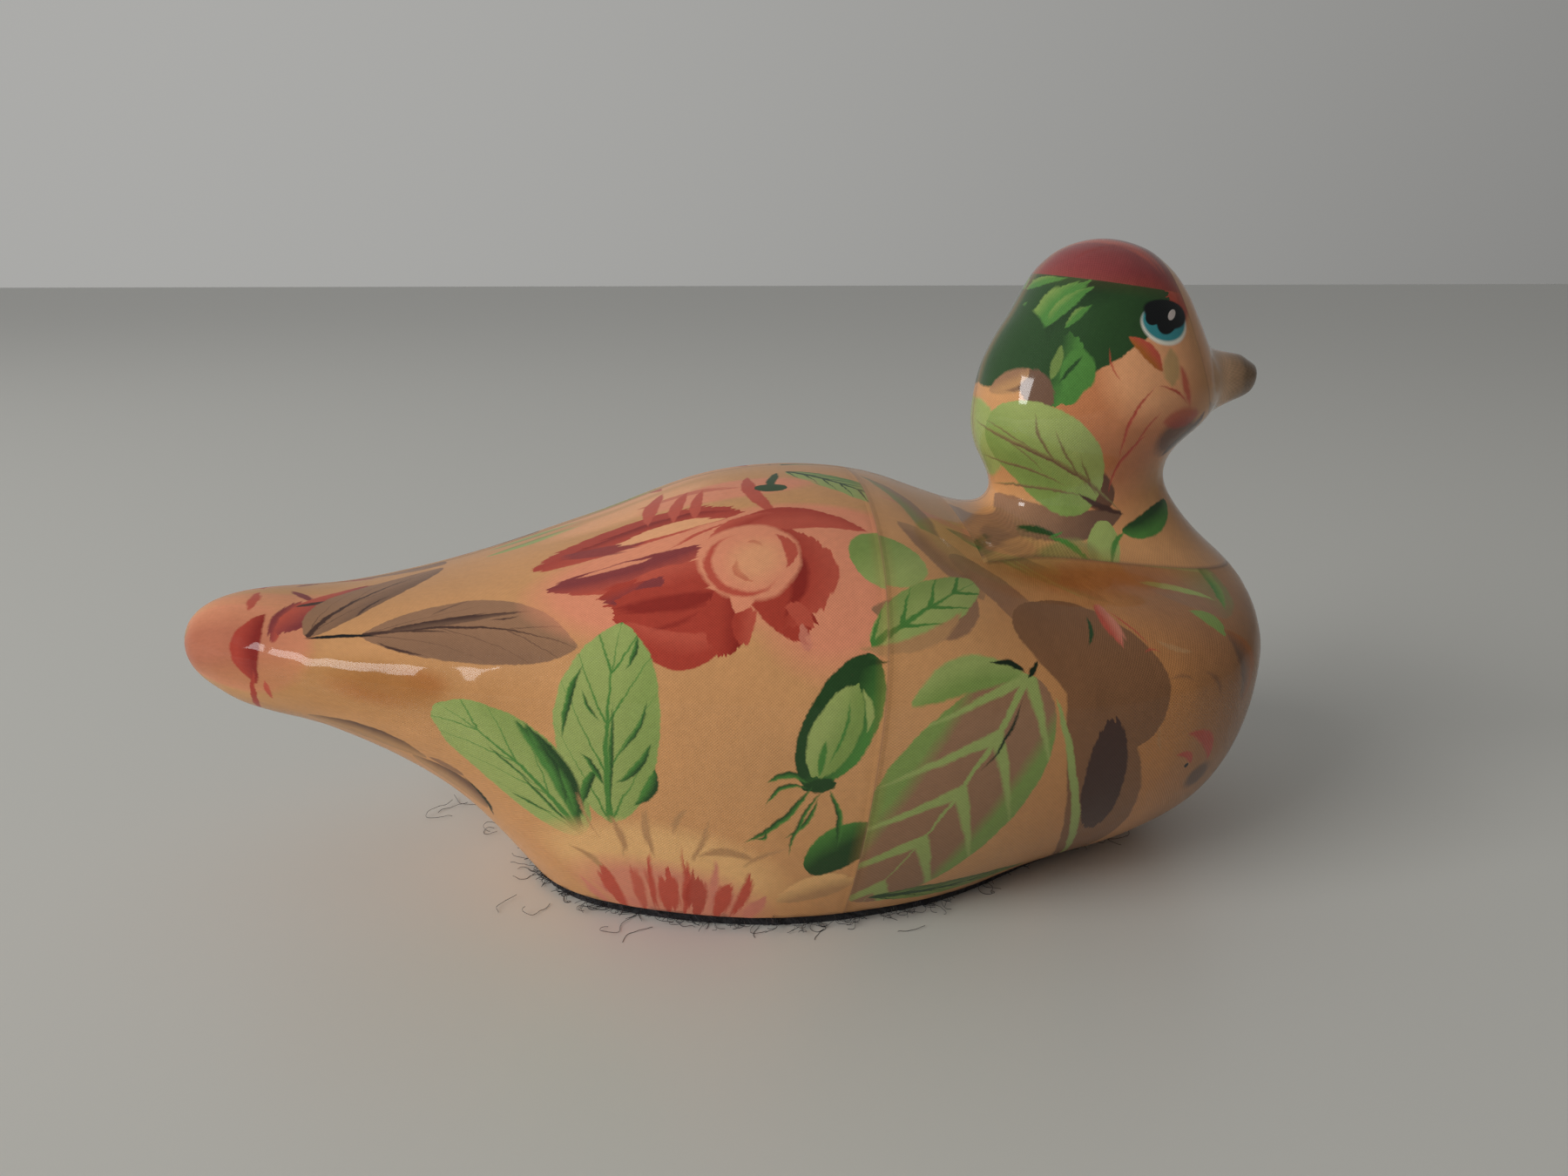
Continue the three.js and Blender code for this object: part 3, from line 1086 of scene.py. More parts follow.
def tail_figures() -> list[Figure]:
    """Figures on the tail and the rear flank, from the tail's tip forwards.

    Returns:
        The figures in the order that they are laid.
    """
    tail_point = (352, 731)
    leaf_lines = (
        ((440, 728), (520, 728), 0.9, Dye.DARK_BROWN, 1.0),
        ((430, 736), (490, 752), 1.1, Dye.DARK_BROWN, -0.8),
        ((492, 708), (540, 690), 0.9, Dye.UMBER, 0.6), ((560, 712), (598, 706), 0.9, Dye.DARK_BROWN, -0.5),
        ((628, 724), (664, 745), 1.8, Dye.BROWN, 0.6),
    )
    return [
        Blot((254, 742), 17, 20, Dye.SALMON, softness=0.14, strength=0.75),
        Blot((322, 690), 16, 7, Dye.SALMON, softness=0.5, strength=0.6),
        Blot((236, 745), 16, 14, Dye.TAIL, softness=0.9, strength=0.75),
        Stroke((207, 690), (205, 752), 3.0, Dye.OLIVE, edge=1.2, strength=0.55),
        Blot((410, 790), 26, 8, Dye.GLUE, softness=0.9, strength=0.5),
        Blot((435, 788), 8, 4.5, Dye.RUST, softness=0.9, strength=0.7),
        Blot((484, 784), 4, 3, Dye.RUST, softness=0.9, strength=0.55),
        Stroke((304, 704), (295, 786), 6.4, Dye.RED, bend=-2.4, fullness=0.8, edge=0.5, shade=Dye.DEEP),
        Stroke((291, 766), (299, 818), 1.8, Dye.RED, bend=-0.4, fullness=0.9),
        Stroke((303, 676), (284, 702), 2.6, Dye.ROSE, feather=0.15, edge=0.5),
        Stroke((303, 780), (312, 802), 1.6, Dye.ROSE, edge=0.4),
        Stroke((312, 740), (348, 690), 4.2, Dye.ROSE, bend=0.8, feather=0.12, shade=Dye.MAROON, edge=0.5),
        Stroke((334, 678), (382, 668), 2.6, Dye.MAROON, feather=0.1, edge=0.5),
        Stroke((318, 728), (430, 664), 10.5, Dye.MAROON, bend=-1.4, feather=0.05, shade=Dye.ROSE,
               shade_from=0.2),
        Stroke((340, 697), (376, 690), 2.6, Dye.DARK_BROWN, edge=0.5, feather=0.1),
        Leaf(tail_point, (506, 652), 13.0, Dye.BROWN, Dye.UMBER, Dye.DARK_BROWN, bend=1.4, pairs=3,
             sweep=0.7,
             vein_width=0.06, shade_side=-1.0),
        Stroke((404, 712), (452, 682), 1.0, Dye.DARK_BROWN, bend=0.6),
        Leaf((414, 730), (662, 744), 18.5, Dye.BROWN, Dye.UMBER, Dye.DARK_BROWN, bend=3.6, fullness=0.75,
             pairs=3,
             sweep=0.7, vein_width=0.05, shade_side=-1.0, shade_strength=0.35),
        Stroke((430, 728), (602, 702), 2.8, Dye.UMBER, bend=1.0, fullness=0.9, feather=0.1,
               shade=Dye.DARK_BROWN),
        *strokes(leaf_lines),
        Stroke((346, 732), (434, 730), 1.7, Dye.BLACK, bend=0.2, fullness=0.8),
        Stroke((352, 820), (490, 870), 8.5, Dye.TAN, bend=1.4, shade=Dye.UMBER, shade_from=0.3),
        Stroke((474, 866), (560, 928), 8.0, Dye.TAN, bend=1.0, shade=Dye.UMBER, shade_from=0.2),
        Stroke((490, 868), (534, 892), 2.4, Dye.BROWN, bend=0.6),
        Stroke((530, 890), (566, 936), 1.2, Dye.BLACK_GREEN, bend=1.6),
        Blot((436, 782), 9, 4.2, Dye.GLUE, turn=-20, softness=0.9, strength=0.6),
    ]


def flank_leaves() -> list[Figure]:
    """The two light green leaves low on the flank, with the dark strokes of their veins.

    Returns:
        The figures in the order that they are laid.
    """
    low_point = (668, 958)
    figures: list[Figure] = [
        Leaf(low_point, (502, 806), 17.0, Dye.PALE_GREEN, Dye.LEAF_GREEN, Dye.MID_GREEN, bend=-1.5,
             fullness=0.52, pairs=4, sweep=0.5, vein_width=0.08, shade_side=-1.0, shade_strength=0.6),
        Leaf((702, 944), (714, 714), 17.5, Dye.PALE_GREEN, Dye.LEAF_GREEN, Dye.MID_GREEN, bend=1.6,
             fullness=0.66, pairs=4, sweep=0.5, vein_width=0.09, shade_side=-1.0, shade_strength=0.6),
        Stroke((666, 952), (590, 826), 5.0, Dye.DARK_GREEN, bend=-2.2, feather=0.06, edge=0.6,
               shade=Dye.MID_GREEN),
    ]
    dark_edges = (
        (low_point, (598, 826), 2.2, -1.2), ((650, 925), (612, 850), 2.6, -1.2), ((662, 940),
        (640, 878), 2.2, -0.8),
        (low_point, (590, 880), 1.1, 0.6), ((620, 905), (556, 850), 0.9, 0.5), ((640, 935),
        (580, 905), 1.0, 0.5),
    )
    upright = (
        ((702, 938), (704, 800), 1.2, 0.3), ((668, 925), (690, 880), 2.0, 0.8), ((646, 850),
        (672, 760), 1.5, 1.0),
        ((704, 900), (748, 850), 1.7, -1.0), ((706, 870), (744, 800), 1.2, -0.8), ((694, 905),
        (664, 862), 1.4, -0.6),
        ((716, 770), (734, 726), 1.3, -0.5), ((726, 924), (752, 880), 2.6, -1.2), ((690, 830),
        (668, 790), 1.0, 0.5),
    )
    figures += strokes(dark_edges + upright, dye=Dye.DARK_GREEN, fullness=0.9, shade=Dye.MID_GREEN)
    return figures


def great_rose() -> list[Figure]:
    """The large red rose on the back, from its outer petals to its heart.

    Returns:
        The figures in the order that they are laid.
    """
    return [
        Blot((722, 575), 15, 7, Dye.PEACH, turn=16, softness=0.5),
        Blot((835, 562), 15, 6, Dye.SALMON, softness=0.3),
        Blot((925, 600), 15, 7, Dye.SALMON, turn=-10, softness=0.3),
        Blot((948, 668), 12, 15, Dye.SALMON, softness=0.45),
        Blot((790, 650), 26, 15, Dye.SALMON, turn=12, softness=0.3),
        Stroke((728, 572), (850, 560), 3.2, Dye.ROSE, bend=1.6, feather=0.2, strength=0.6),
        Stroke((612, 656), (850, 586), 13.5, Dye.ROSE, bend=4.6, fullness=0.55, feather=0.05, shade=Dye.RED,
               shade_from=-0.5),
        Stroke((650, 640), (840, 586), 5.0, Dye.RED, bend=3.0, feather=0.12, shade=Dye.DEEP, edge=0.6),
        Stroke((744, 606), (762, 566), 3.4, Dye.ROSE, bend=0.8, fullness=1.0),
        Stroke((774, 602), (790, 564), 3.0, Dye.ROSE, bend=0.8, fullness=1.0),
        Stroke((798, 600), (808, 562), 2.6, Dye.ROSE, bend=0.6, fullness=1.0),
        Stroke((628, 678), (806, 628), 9.0, Dye.ROSE, bend=-1.6, fullness=0.6, feather=0.06,
               shade=Dye.MAROON,
               shade_from=-0.3),
        Stroke((640, 640), (742, 622), 5.5, Dye.MAROON, bend=-1.0, feather=0.2, edge=0.8, strength=0.8),
        Stroke((664, 664), (752, 640), 1.9, Dye.SALMON, bend=0.4, feather=0.1),
        Stroke((706, 628), (830, 596), 5.0, Dye.PEACH, bend=1.4, feather=0.08),
        Stroke((730, 628), (812, 604), 1.2, Dye.ROSE, bend=0.6, feather=0.25),
        Stroke((760, 634), (836, 600), 1.2, Dye.ROSE, bend=0.4, feather=0.25),
        Stroke((858, 548), (892, 592), 3.4, Dye.ROSE, bend=-1.6, fullness=0.6),
        Stroke((808, 640), (996, 610), 8.5, Dye.ROSE, bend=7.5, fullness=0.75, feather=0.02, shade=Dye.RED,
               shade_from=0.2),
        Stroke((814, 632), (890, 588), 4.0, Dye.RED, bend=2.4, feather=0.08, shade=Dye.ROSE),
        Stroke((696, 696), (836, 650), 9.0, Dye.RED, bend=0.8, feather=0.09, shade=Dye.ROSE,
               shade_from=0.2),
        Stroke((688, 692), (742, 668), 6.0, Dye.MAROON, feather=0.2, edge=0.6, shade=Dye.RED),
        Stroke((724, 690), (764, 662), 4.0, Dye.MAROON, feather=0.15, fullness=1.0),
        Stroke((704, 698), (846, 706), 15.0, Dye.RED, bend=-2.0, fullness=0.45, feather=0.04),
        Stroke((716, 716), (842, 728), 7.0, Dye.RED, bend=-4.0, fullness=0.5, shade=Dye.ROSE,
               shade_from=0.2),
        Stroke((700, 700), (846, 678), 4.6, Dye.DEEP, bend=-0.6, feather=0.12, edge=1.0, strength=0.8),
        Stroke((744, 722), (806, 700), 2.0, Dye.DEEP, bend=-0.8, feather=0.2, edge=0.8, strength=0.6),
        Stroke((834, 672), (832, 754), 7.5, Dye.RED, fullness=0.6, feather=0.14, shade=Dye.DEEP,
               shade_from=0.2),
        Stroke((858, 690), (850, 740), 4.2, Dye.RED, feather=0.16, shade=Dye.ROSE),
        Stroke((862, 676), (926, 734), 9.0, Dye.RED, bend=1.6, fullness=0.6, feather=0.14, shade=Dye.DEEP,
               shade_from=0.5),
        Stroke((896, 606), (892, 724), 11.0, Dye.RED, bend=4.4, fullness=0.55, feather=0.06, shade=Dye.ROSE,
               shade_from=0.4),
        Stroke((906, 622), (898, 712), 3.6, Dye.DEEP, bend=2.4, edge=0.9, strength=0.85),
        Stroke((904, 690), (934, 720), 3.4, Dye.ROSE, feather=0.2),
        Stroke((920, 716), (930, 750), 2.2, Dye.PINK, feather=0.2, strength=0.8),
        Blot((860, 640), 8.4, 9.4, Dye.SALMON, softness=0.1),
        Stroke((862, 668), (844, 704), 4.4, Dye.SALMON, fullness=0.8),
        Blot((853, 645), 6.4, 7.6, Dye.ROSE, softness=0.08),
        Blot((860, 641), 6.2, 7.4, Dye.SALMON, softness=0.1),
        Stroke((848, 640), (866, 668), 1.7, Dye.ROSE, bend=-1.6, feather=0.12),
        Stroke((856, 622), (876, 628), 1.3, Dye.ROSE, bend=0.8, feather=0.15, strength=0.8),
        Blot((868, 642), 4.0, 4.6, Dye.PEACH, turn=-20, softness=0.9, strength=0.7),
        Stroke((888, 612), (902, 654), 2.6, Dye.ROSE, bend=1.8, fullness=0.9, feather=0.1),
        Stroke((866, 560), (904, 560), 5.0, Dye.DARK_GREEN, fullness=0.4, feather=0.05),
        Stroke((882, 560), (884, 534), 2.2, Dye.DARK_GREEN, fullness=0.6),
    ]


def saddle_figures() -> list[Figure]:
    """Leaves on the top of the back and behind the neck.

    Returns:
        The figures in the order that they are laid.
    """
    return [
        Stroke((556, 640), (670, 602), 6.0, Dye.PALE_GREEN, edge=0.8, shade=Dye.OLIVE, shade_from=0.4),
        Leaf((896, 534), (1040, 590), 9.0, Dye.PALE_GREEN, Dye.MID_GREEN, Dye.DARK_GREEN, bend=1.0, pairs=7,
             shade_side=1.0),
    ]


def shoulder_figures() -> list[Figure]:
    """Leaves on the shoulder, which the seam of the breast runs across.

    Returns:
        The figures in the order that they are laid.
    """
    return [
        Stroke((1000, 566), (1200, 640), 5.0, Dye.PINK, bend=-1.0, edge=1.0, strength=0.6),
        Stroke((985, 545), (1080, 640), 6.0, Dye.OLIVE, bend=1.4, edge=0.8, shade=Dye.BROWN),
        Stroke((1030, 598), (1130, 690), 9.0, Dye.BROWN, bend=1.6, edge=0.5, shade=Dye.TAN),
        Stroke((1000, 700), (1110, 660), 11.0, Dye.BROWN, bend=-5.0, edge=0.5),
        Stroke((985, 655), (1045, 630), 15.0, Dye.PALE_GREEN, fullness=0.45, edge=0.5,
               shade=Dye.LEAF_GREEN),
        Leaf((1000, 744), (1122, 668), 9.5, Dye.PALE_GREEN, Dye.LEAF_GREEN, Dye.MID_GREEN, bend=1.2,
             pairs=4),
        Stroke((985, 745), (1105, 700), 3.4, Dye.TAN, bend=-2.4, edge=0.6),
        Stroke((1090, 636), (1215, 745), 7.5, Dye.BROWN, bend=1.0, fullness=0.4),
        Stroke((1085, 606), (1275, 692), 9.0, Dye.OLIVE, bend=1.6, edge=0.6, shade=Dye.BROWN,
               shade_from=-0.2),
        Stroke((1110, 612), (1270, 690), 3.6, Dye.BROWN, bend=0.4, feather=0.1),
        Stroke((1112, 622), (1190, 662), 1.6, Dye.PALE_GREEN, bend=0.6),
        Stroke((1160, 640), (1250, 690), 1.6, Dye.PALE_GREEN, bend=-0.6),
    ]


def low_flank_figures() -> list[Figure]:
    """The rosehip, the dark fragment at the seam, and the pale rose that runs under the base.

    Returns:
        The figures in the order that they are laid.
    """
    stem = (1022, 759)
    curls = (
        ((934, 900), (852, 968), 1.5, 1.2), ((930, 905), (878, 925), 1.3, -1.8), ((940, 915),
        (900, 962), 1.2, 1.0),
        ((948, 905), (905, 985), 1.1, -1.2), ((952, 905), (960, 975), 1.4, 1.0), ((930, 900),
        (880, 900), 1.6, -1.6),
        ((878, 948), (862, 962), 1.0, 1.5),
    )
    rose = (
        ((650, 968), (700, 1010), 2.0, Dye.TAN, 1.6), ((690, 962), (660, 900), 1.2, Dye.TAN, 0.8),
        ((716, 985), (700, 935), 2.0, Dye.TAN, -0.8), ((752, 985), (742, 925), 2.2, Dye.TAN, 0.8),
        ((790, 990), (815, 935), 1.6, Dye.TAN, -0.8), ((800, 985), (870, 990), 2.4, Dye.TAN, 1.6),
        ((772, 960), (790, 930), 1.8, Dye.TAN, 0.8), ((850, 1000), (905, 975), 1.4, Dye.TAN, 0.8),
    )
    outer_petals = (
        ((720, 1050), (690, 990), 3.6, Dye.ROSE, 0.8), ((706, 1040), (668, 1006), 2.6, Dye.PINK, 0.8),
    )
    inner_petals = (
        ((756, 1050), (745, 978), 2.0, Dye.ROSE, 0.6), ((784, 1050), (784, 976), 2.2, Dye.ROSE, -0.6),
        ((812, 1050), (820, 984), 2.0, Dye.PINK, -0.6),
    )
    hip_lines = (
        ((976, 800), (950, 880), 1.0, Dye.MID_GREEN, 0.8), ((990, 790), (996, 842), 1.6, Dye.PALE_GREEN, 0.8),
        ((948, 850), (940, 893), 1.5, Dye.MID_GREEN, 0.0), ((960, 782), stem, 1.6, Dye.DARK_GREEN, 1.0),
        (stem, (1034, 800), 0.9, Dye.DARK_GREEN, 0.6),
    )
    figures: list[Figure] = [
        Blot((760, 1000), 19, 9, Dye.CREAM, softness=0.35, strength=0.9),
        Blot((770, 1032), 15, 7, Dye.PINK, softness=0.5, strength=0.9),
        Stroke((680, 1010), (760, 1046), 2.2, Dye.PINK, bend=-0.8, feather=0.2, edge=0.6),
    ]
    figures += strokes(rose, feather=0.15, edge=0.6)
    figures += [
        *strokes(outer_petals, feather=0.2, edge=0.6),
        *strokes(inner_petals, feather=0.25, edge=0.6),
        Stroke((836, 1052), (862, 1000), 2.6, Dye.ROSE, bend=-0.8, feather=0.2, edge=0.6),
        Stroke((742, 1052), (725, 990), 2.8, Dye.ROSE, feather=0.25, edge=0.6, strength=0.8),
        Stroke((770, 1056), (765, 1000), 4.4, Dye.ROSE, feather=0.3, edge=0.6),
        Stroke((796, 1056), (800, 1002), 4.4, Dye.RED, feather=0.3, edge=0.6, strength=0.85),
        Stroke((820, 1056), (838, 1012), 3.6, Dye.ROSE, feather=0.3, edge=0.6),
        Stroke((850, 1056), (880, 1030), 3.0, Dye.PINK, feather=0.2, edge=0.6),
        Stroke((890, 1035), (985, 1010), 5.4, Dye.TAN, bend=1.0, feather=0.1, shade=Dye.CREAM),
        Stroke((925, 1000), (1010, 950), 8.0, Dye.DARK_GREEN, bend=0.6, fullness=0.5, shade=Dye.MID_GREEN,
               shade_from=0.4),
        Stroke((1004, 752), (924, 902), 11.5, Dye.DARK_GREEN, fullness=0.55, shade=Dye.MID_GREEN,
               shade_from=0.3),
        Stroke((984, 786), (934, 893), 7.8, Dye.PALE_GREEN, fullness=0.6, feather=0.04,
               shade=Dye.LEAF_GREEN),
        *strokes(hip_lines),
        Stroke((920, 905), (962, 898), 3.0, Dye.DARK_GREEN, feather=0.1),
    ]
    figures += strokes(curls, dye=Dye.DARK_GREEN, shade=Dye.MID_GREEN)
    return figures


def breast_figures() -> list[Figure]:
    """Figures on the front flank and the breast, with painted shade over the breast and along its front edge.

    Returns:
        The figures in the order that they are laid.
    """
    leaf_stem = (1180, 774)
    return [
        Blot((1340, 790), 22, 20, Dye.CREAM, softness=0.8, strength=0.5),
        # Painted shade: a broad rust-brown glaze that deepens the breast where it lies in shade.
        Blot((1350, 790), 24, 30, Dye.RUST, softness=0.9, strength=0.6),
        # Painted shade: a soft umber wash that darkens the breast's front edge, away from the light.
        Blot((1436, 740), 14, 30, Dye.UMBER, softness=0.9, strength=0.5),
        Stroke((1300, 612), (1408, 712), 17.0, Dye.BROWN, bend=1.5, edge=0.8, shade=Dye.OLIVE,
               shade_from=0.3),
        Stroke((1310, 650), (1395, 660), 2.0, Dye.PALE_GREEN, bend=0.8),
        Stroke((1305, 668), (1398, 690), 2.2, Dye.PALE_GREEN, bend=0.8),
        Stroke((1352, 612), (1405, 700), 2.2, Dye.MID_GREEN, bend=2.4, shade=Dye.LEAF_GREEN),
        Stroke((1365, 700), (1405, 730), 3.2, Dye.LEAF_GREEN, bend=1.0, feather=0.1),
        Stroke((1165, 700), (1318, 850), 19.0, Dye.WARM_BROWN, bend=3.5, fullness=0.5, edge=0.4),
        Stroke((1232, 780), (1215, 985), 14.0, Dye.WARM_BROWN, fullness=0.5, edge=0.4),
        Stroke((1276, 826), (1252, 950), 8.0, Dye.DARK_BROWN, bend=-1.2, fullness=0.45, feather=0.06),
        Leaf(leaf_stem, (990, 1036), 24.0, Dye.BROWN, Dye.BROWN, Dye.PALE_GREEN, bend=-2.4, fullness=0.5,
             pairs=4.4,
             sweep=0.3, vein_width=0.2, rim=Dye.LEAF_GREEN),
        Stroke((1176, 772), (1046, 812), 7.0, Dye.PALE_GREEN, bend=-2.8, edge=0.6, shade=Dye.LEAF_GREEN),
        Stroke((1176, 800), (1124, 888), 0.9, Dye.BLACK_GREEN, bend=0.4),
        Stroke((1136, 760), leaf_stem, 1.5, Dye.BLACK_GREEN, bend=0.8, feather=0.1),
        Stroke((1180, 780), (1192, 758), 1.4, Dye.BLACK_GREEN),
        Stroke((1212, 800), (1214, 984), 2.0, Dye.PALE_GREEN, bend=-2.6, fullness=0.4),
        Leaf((996, 1030), (1176, 990), 4.8, Dye.LEAF_GREEN, Dye.DARK_GREEN, Dye.DARK_GREEN, bend=-1.0,
             pairs=7),
        Blot((1240, 664), 22, 4.5, Dye.RUST, turn=-16, softness=0.9, strength=0.8),
        Stroke((1256, 692), (1288, 742), 4.2, Dye.ROSE, feather=0.2, edge=0.6, shade=Dye.PINK),
        Stroke((1266, 698), (1322, 744), 0.8, Dye.ROSE, bend=0.5),
        Stroke((1246, 706), (1250, 742), 1.3, Dye.DARK_GREEN, bend=0.5),
        Stroke((1324, 732), (1370, 748), 1.4, Dye.TAN, bend=-0.8, strength=0.8),
        Stroke((1314, 750), (1334, 748), 0.8, Dye.ROSE, bend=0.6, strength=0.8),
        Stroke((1340, 784), (1376, 784), 1.2, Dye.UMBER, bend=1.0, strength=0.6, edge=0.7),
        Stroke((1382, 770), (1402, 800), 1.6, Dye.UMBER, bend=0.8, strength=0.6, edge=0.7),
        Stroke((1332, 830), (1334, 866), 1.0, Dye.TAN, bend=-0.6, edge=0.7),
        Stroke((1404, 722), (1424, 808), 6.0, Dye.UMBER, bend=1.4, edge=0.8, shade=Dye.RUST, strength=0.8),
        Stroke((1362, 842), (1384, 876), 3.0, Dye.ROSE, bend=2.0, fullness=0.9, edge=0.6),
        Stroke((1350, 866), (1368, 876), 1.6, Dye.ROSE, bend=0.8),
        Blot((1374, 890), 2.4, 2.6, Dye.UMBER, softness=0.5),
        Blot((1362, 878), 0.5, 0.5, Dye.BLACK),
        Leaf((1472, 858), (1502, 712), 12.0, Dye.PALE_GREEN, Dye.LEAF_GREEN, Dye.MID_GREEN, bend=1.2,
             pairs=4,
             sweep=0.5, vein_width=0.09),
        Leaf((1474, 862), (1548, 790), 8.5, Dye.LEAF_GREEN, Dye.MID_GREEN, Dye.DARK_GREEN, bend=-1.0,
             pairs=4,
             sweep=0.5, vein_width=0.09),
        Stroke((1470, 850), (1462, 912), 1.6, Dye.DARK_GREEN, bend=0.8),
        Stroke((1466, 690), (1530, 668), 6.0, Dye.ROSE, bend=1.4, feather=0.08, shade=Dye.RED),
        Stroke((1472, 700), (1540, 696), 5.0, Dye.RED, bend=-1.0, feather=0.1, shade=Dye.ROSE),
        Blot((1466, 690), 3.2, 3.6, Dye.MAROON, softness=0.2),
    ]


def head_figures() -> list[Figure]:
    """Figures on the right of the neck and the head, painted shade on the crown's top and under the chin, and
    the painted eye.

    Returns:
        The figures in the order that they are laid.
    """
    leaf_point = (1288, 590)
    mid_streaks = (
        ((1140, 404), (1216, 340), 2.2, 0.5), ((1172, 390), (1250, 322), 4.6, 0.5),
        ((1200, 374), (1256, 330), 2.8, 0.5), ((1224, 378), (1254, 350), 2.0, 0.5),
        ((1176, 332), (1226, 318), 2.6, 0.5), ((1150, 372), (1180, 346), 1.4, 0.5),
    )
    neck_veins = (
        (leaf_point, (1118, 478), 1.5, -1.6), ((1218, 538), (1188, 470), 1.0, 0.8), ((1250, 562),
        (1212, 490), 0.9, 1.0),
        ((1262, 572), (1240, 520), 0.9, 0.8), ((1190, 520), (1130, 480), 0.8, -0.6), ((1226, 560),
        (1126, 520), 1.0, -1.2),
        ((1248, 572), (1136, 552), 1.0, -1.2), ((1200, 545), (1150, 500), 0.7, -0.5),
    )
    salmon_veins = (
        ((1331, 440), (1284, 534), 1.0, -2.6), ((1336, 470), (1300, 522), 0.8, -1.0), ((1322, 496),
        (1272, 568), 1.2, -1.6),
        ((1274, 398), (1290, 440), 0.7, -0.8), ((1330, 443), (1364, 464), 0.9, 0.6),
    )
    figures: list[Figure] = [
        Blot((1290, 476), 15, 18, Dye.CHEEK, softness=0.6, strength=0.85),
        Blot((1325, 420), 9, 9, Dye.PEACH, softness=0.6, strength=0.8),
        Blot((1262, 262), 19.5, 10.5, Dye.RED, turn=-4, softness=0.06),
        # Painted shade: darker maroon over the top of the crown.
        Blot((1276, 268), 13, 4.0, Dye.MAROON, softness=0.7),
        Stroke((1188, 318), (1330, 330), 2.2, Dye.ROSE, bend=2.4, edge=0.8),
        Blot((1345, 345), 5.5, 6.5, Dye.RED, softness=0.3),
        Stroke((1112, 442), (1204, 424), 4.6, Dye.TAN, edge=0.5, shade=Dye.BROWN),
        Stroke((1174, 412), (1206, 470), 6.0, Dye.UMBER, feather=0.1, shade=Dye.BROWN),
        Stroke((1122, 432), (1180, 446), 2.6, Dye.UMBER, feather=0.1, strength=0.7),
        Stroke((1104, 424), (1274, 308), 13.0, Dye.DARK_GREEN, bend=1.8, fullness=0.45, feather=0.03),
        Blot((1160, 350), 8.0, 7.0, Dye.DARK_GREEN, softness=0.1),
        Stroke((1288, 310), (1352, 350), 4.6, Dye.RED, bend=-0.5, edge=0.5, shade=Dye.ROSE),
        Stroke((1180, 424), (1340, 336), 17.0, Dye.DARK_GREEN, bend=1.6, fullness=0.4, feather=0.03,
               shade=Dye.BLACK_GREEN, shade_from=0.6),
        Stroke((1200, 466), (1232, 384), 8.5, Dye.MID_GREEN, fullness=0.5, feather=0.05,
               shade=Dye.DARK_GREEN),
        Blot((1238, 426), 3.3, 3.8, Dye.MID_GREEN, softness=0.15),
        Stroke((1222, 466), (1240, 432), 4.0, Dye.MID_GREEN, fullness=0.5),
        Stroke((1206, 436), (1218, 396), 2.4, Dye.LEAF_GREEN, strength=0.7),
        Stroke((1214, 440), (1244, 408), 1.2, Dye.DARK_GREEN),
    ]
    figures += strokes(mid_streaks, dye=Dye.MID_GREEN, feather=0.12, shade=Dye.LEAF_GREEN, shade_from=0.5)
    figures += [
        Blot((1122, 412), 8.0, 4.2, Dye.DARK_GREEN, softness=0.1),
        Blot((1136, 378), 8.0, 7.0, Dye.DARK_GREEN, softness=0.1),
        Stroke((1112, 440), (1186, 424), 4.0, Dye.TAN, edge=0.5, shade=Dye.BROWN),
        Stroke((1182, 424), (1208, 466), 4.6, Dye.UMBER, feather=0.1, edge=0.5),
        Blot((1120, 500), 7.0, 7.5, Dye.PALE_GREEN, softness=0.1),
        Stroke((1142, 566), leaf_point, 6.0, Dye.BROWN, bend=-3.0, fullness=0.5, shade=Dye.UMBER,
               shade_end=True),
        Stroke((1240, 545), (1276, 580), 7.5, Dye.DARK_BROWN, fullness=0.4, edge=0.5, strength=0.85),
        Stroke((1256, 578), (1096, 462), 18.0, Dye.PALE_GREEN, bend=-0.4, fullness=0.46,
               shade=Dye.LEAF_GREEN),
    ]
    figures += strokes(neck_veins, dye=Dye.OLIVE, shade=Dye.UMBER)
    figures += [
        Stroke((1236, 566), (1292, 592), 1.6, Dye.DARK_BROWN, bend=-0.4),
        Stroke((1264, 655), (1272, 600), 7.0, Dye.PALE_GREEN, fullness=0.45),
        Blot((1230, 640), 5.0, 2.6, Dye.OLIVE, softness=0.3, strength=0.8),
        Stroke((1166, 604), (1216, 616), 1.4, Dye.DARK_GREEN, fullness=0.5),
        Stroke((1200, 618), (1258, 656), 1.3, Dye.MID_GREEN, bend=1.2),
        Stroke((1202, 618), (1222, 610), 1.0, Dye.MID_GREEN),
        # Painted shadow under the chin.
        Blot((1350, 500), 4.5, 3.6, Dye.DARK_BROWN, softness=0.5, strength=0.8),
        Stroke((1338, 574), (1288, 612), 4.6, Dye.DARK_GREEN, bend=0.8, fullness=0.5, shade=Dye.MID_GREEN),
        Stroke((1292, 610), (1276, 656), 1.3, Dye.MID_GREEN, bend=-0.8),
        Stroke((1296, 386), (1336, 428), 3.0, Dye.RUST, bend=0.6, shade=Dye.ROSE),
        Stroke((1344, 398), (1346, 446), 4.2, Dye.OLIVE, edge=0.8, strength=0.5),
        Stroke((1354, 416), (1366, 468), 2.4, Dye.ROSE, edge=0.7, strength=0.85),
        Stroke((1334, 484), (1378, 474), 5.0, Dye.RED, edge=1.0, strength=0.7),
        # Painted shadow under the chin, as a dark brown stroke.
        Stroke((1332, 524), (1384, 470), 4.6, Dye.DARK_BROWN, bend=-1.6, edge=0.9, strength=0.9),
    ]
    figures += strokes(salmon_veins, dye=Dye.RED, shade=Dye.ROSE)
    figures.append(Eye((1338, 368)))
    return figures


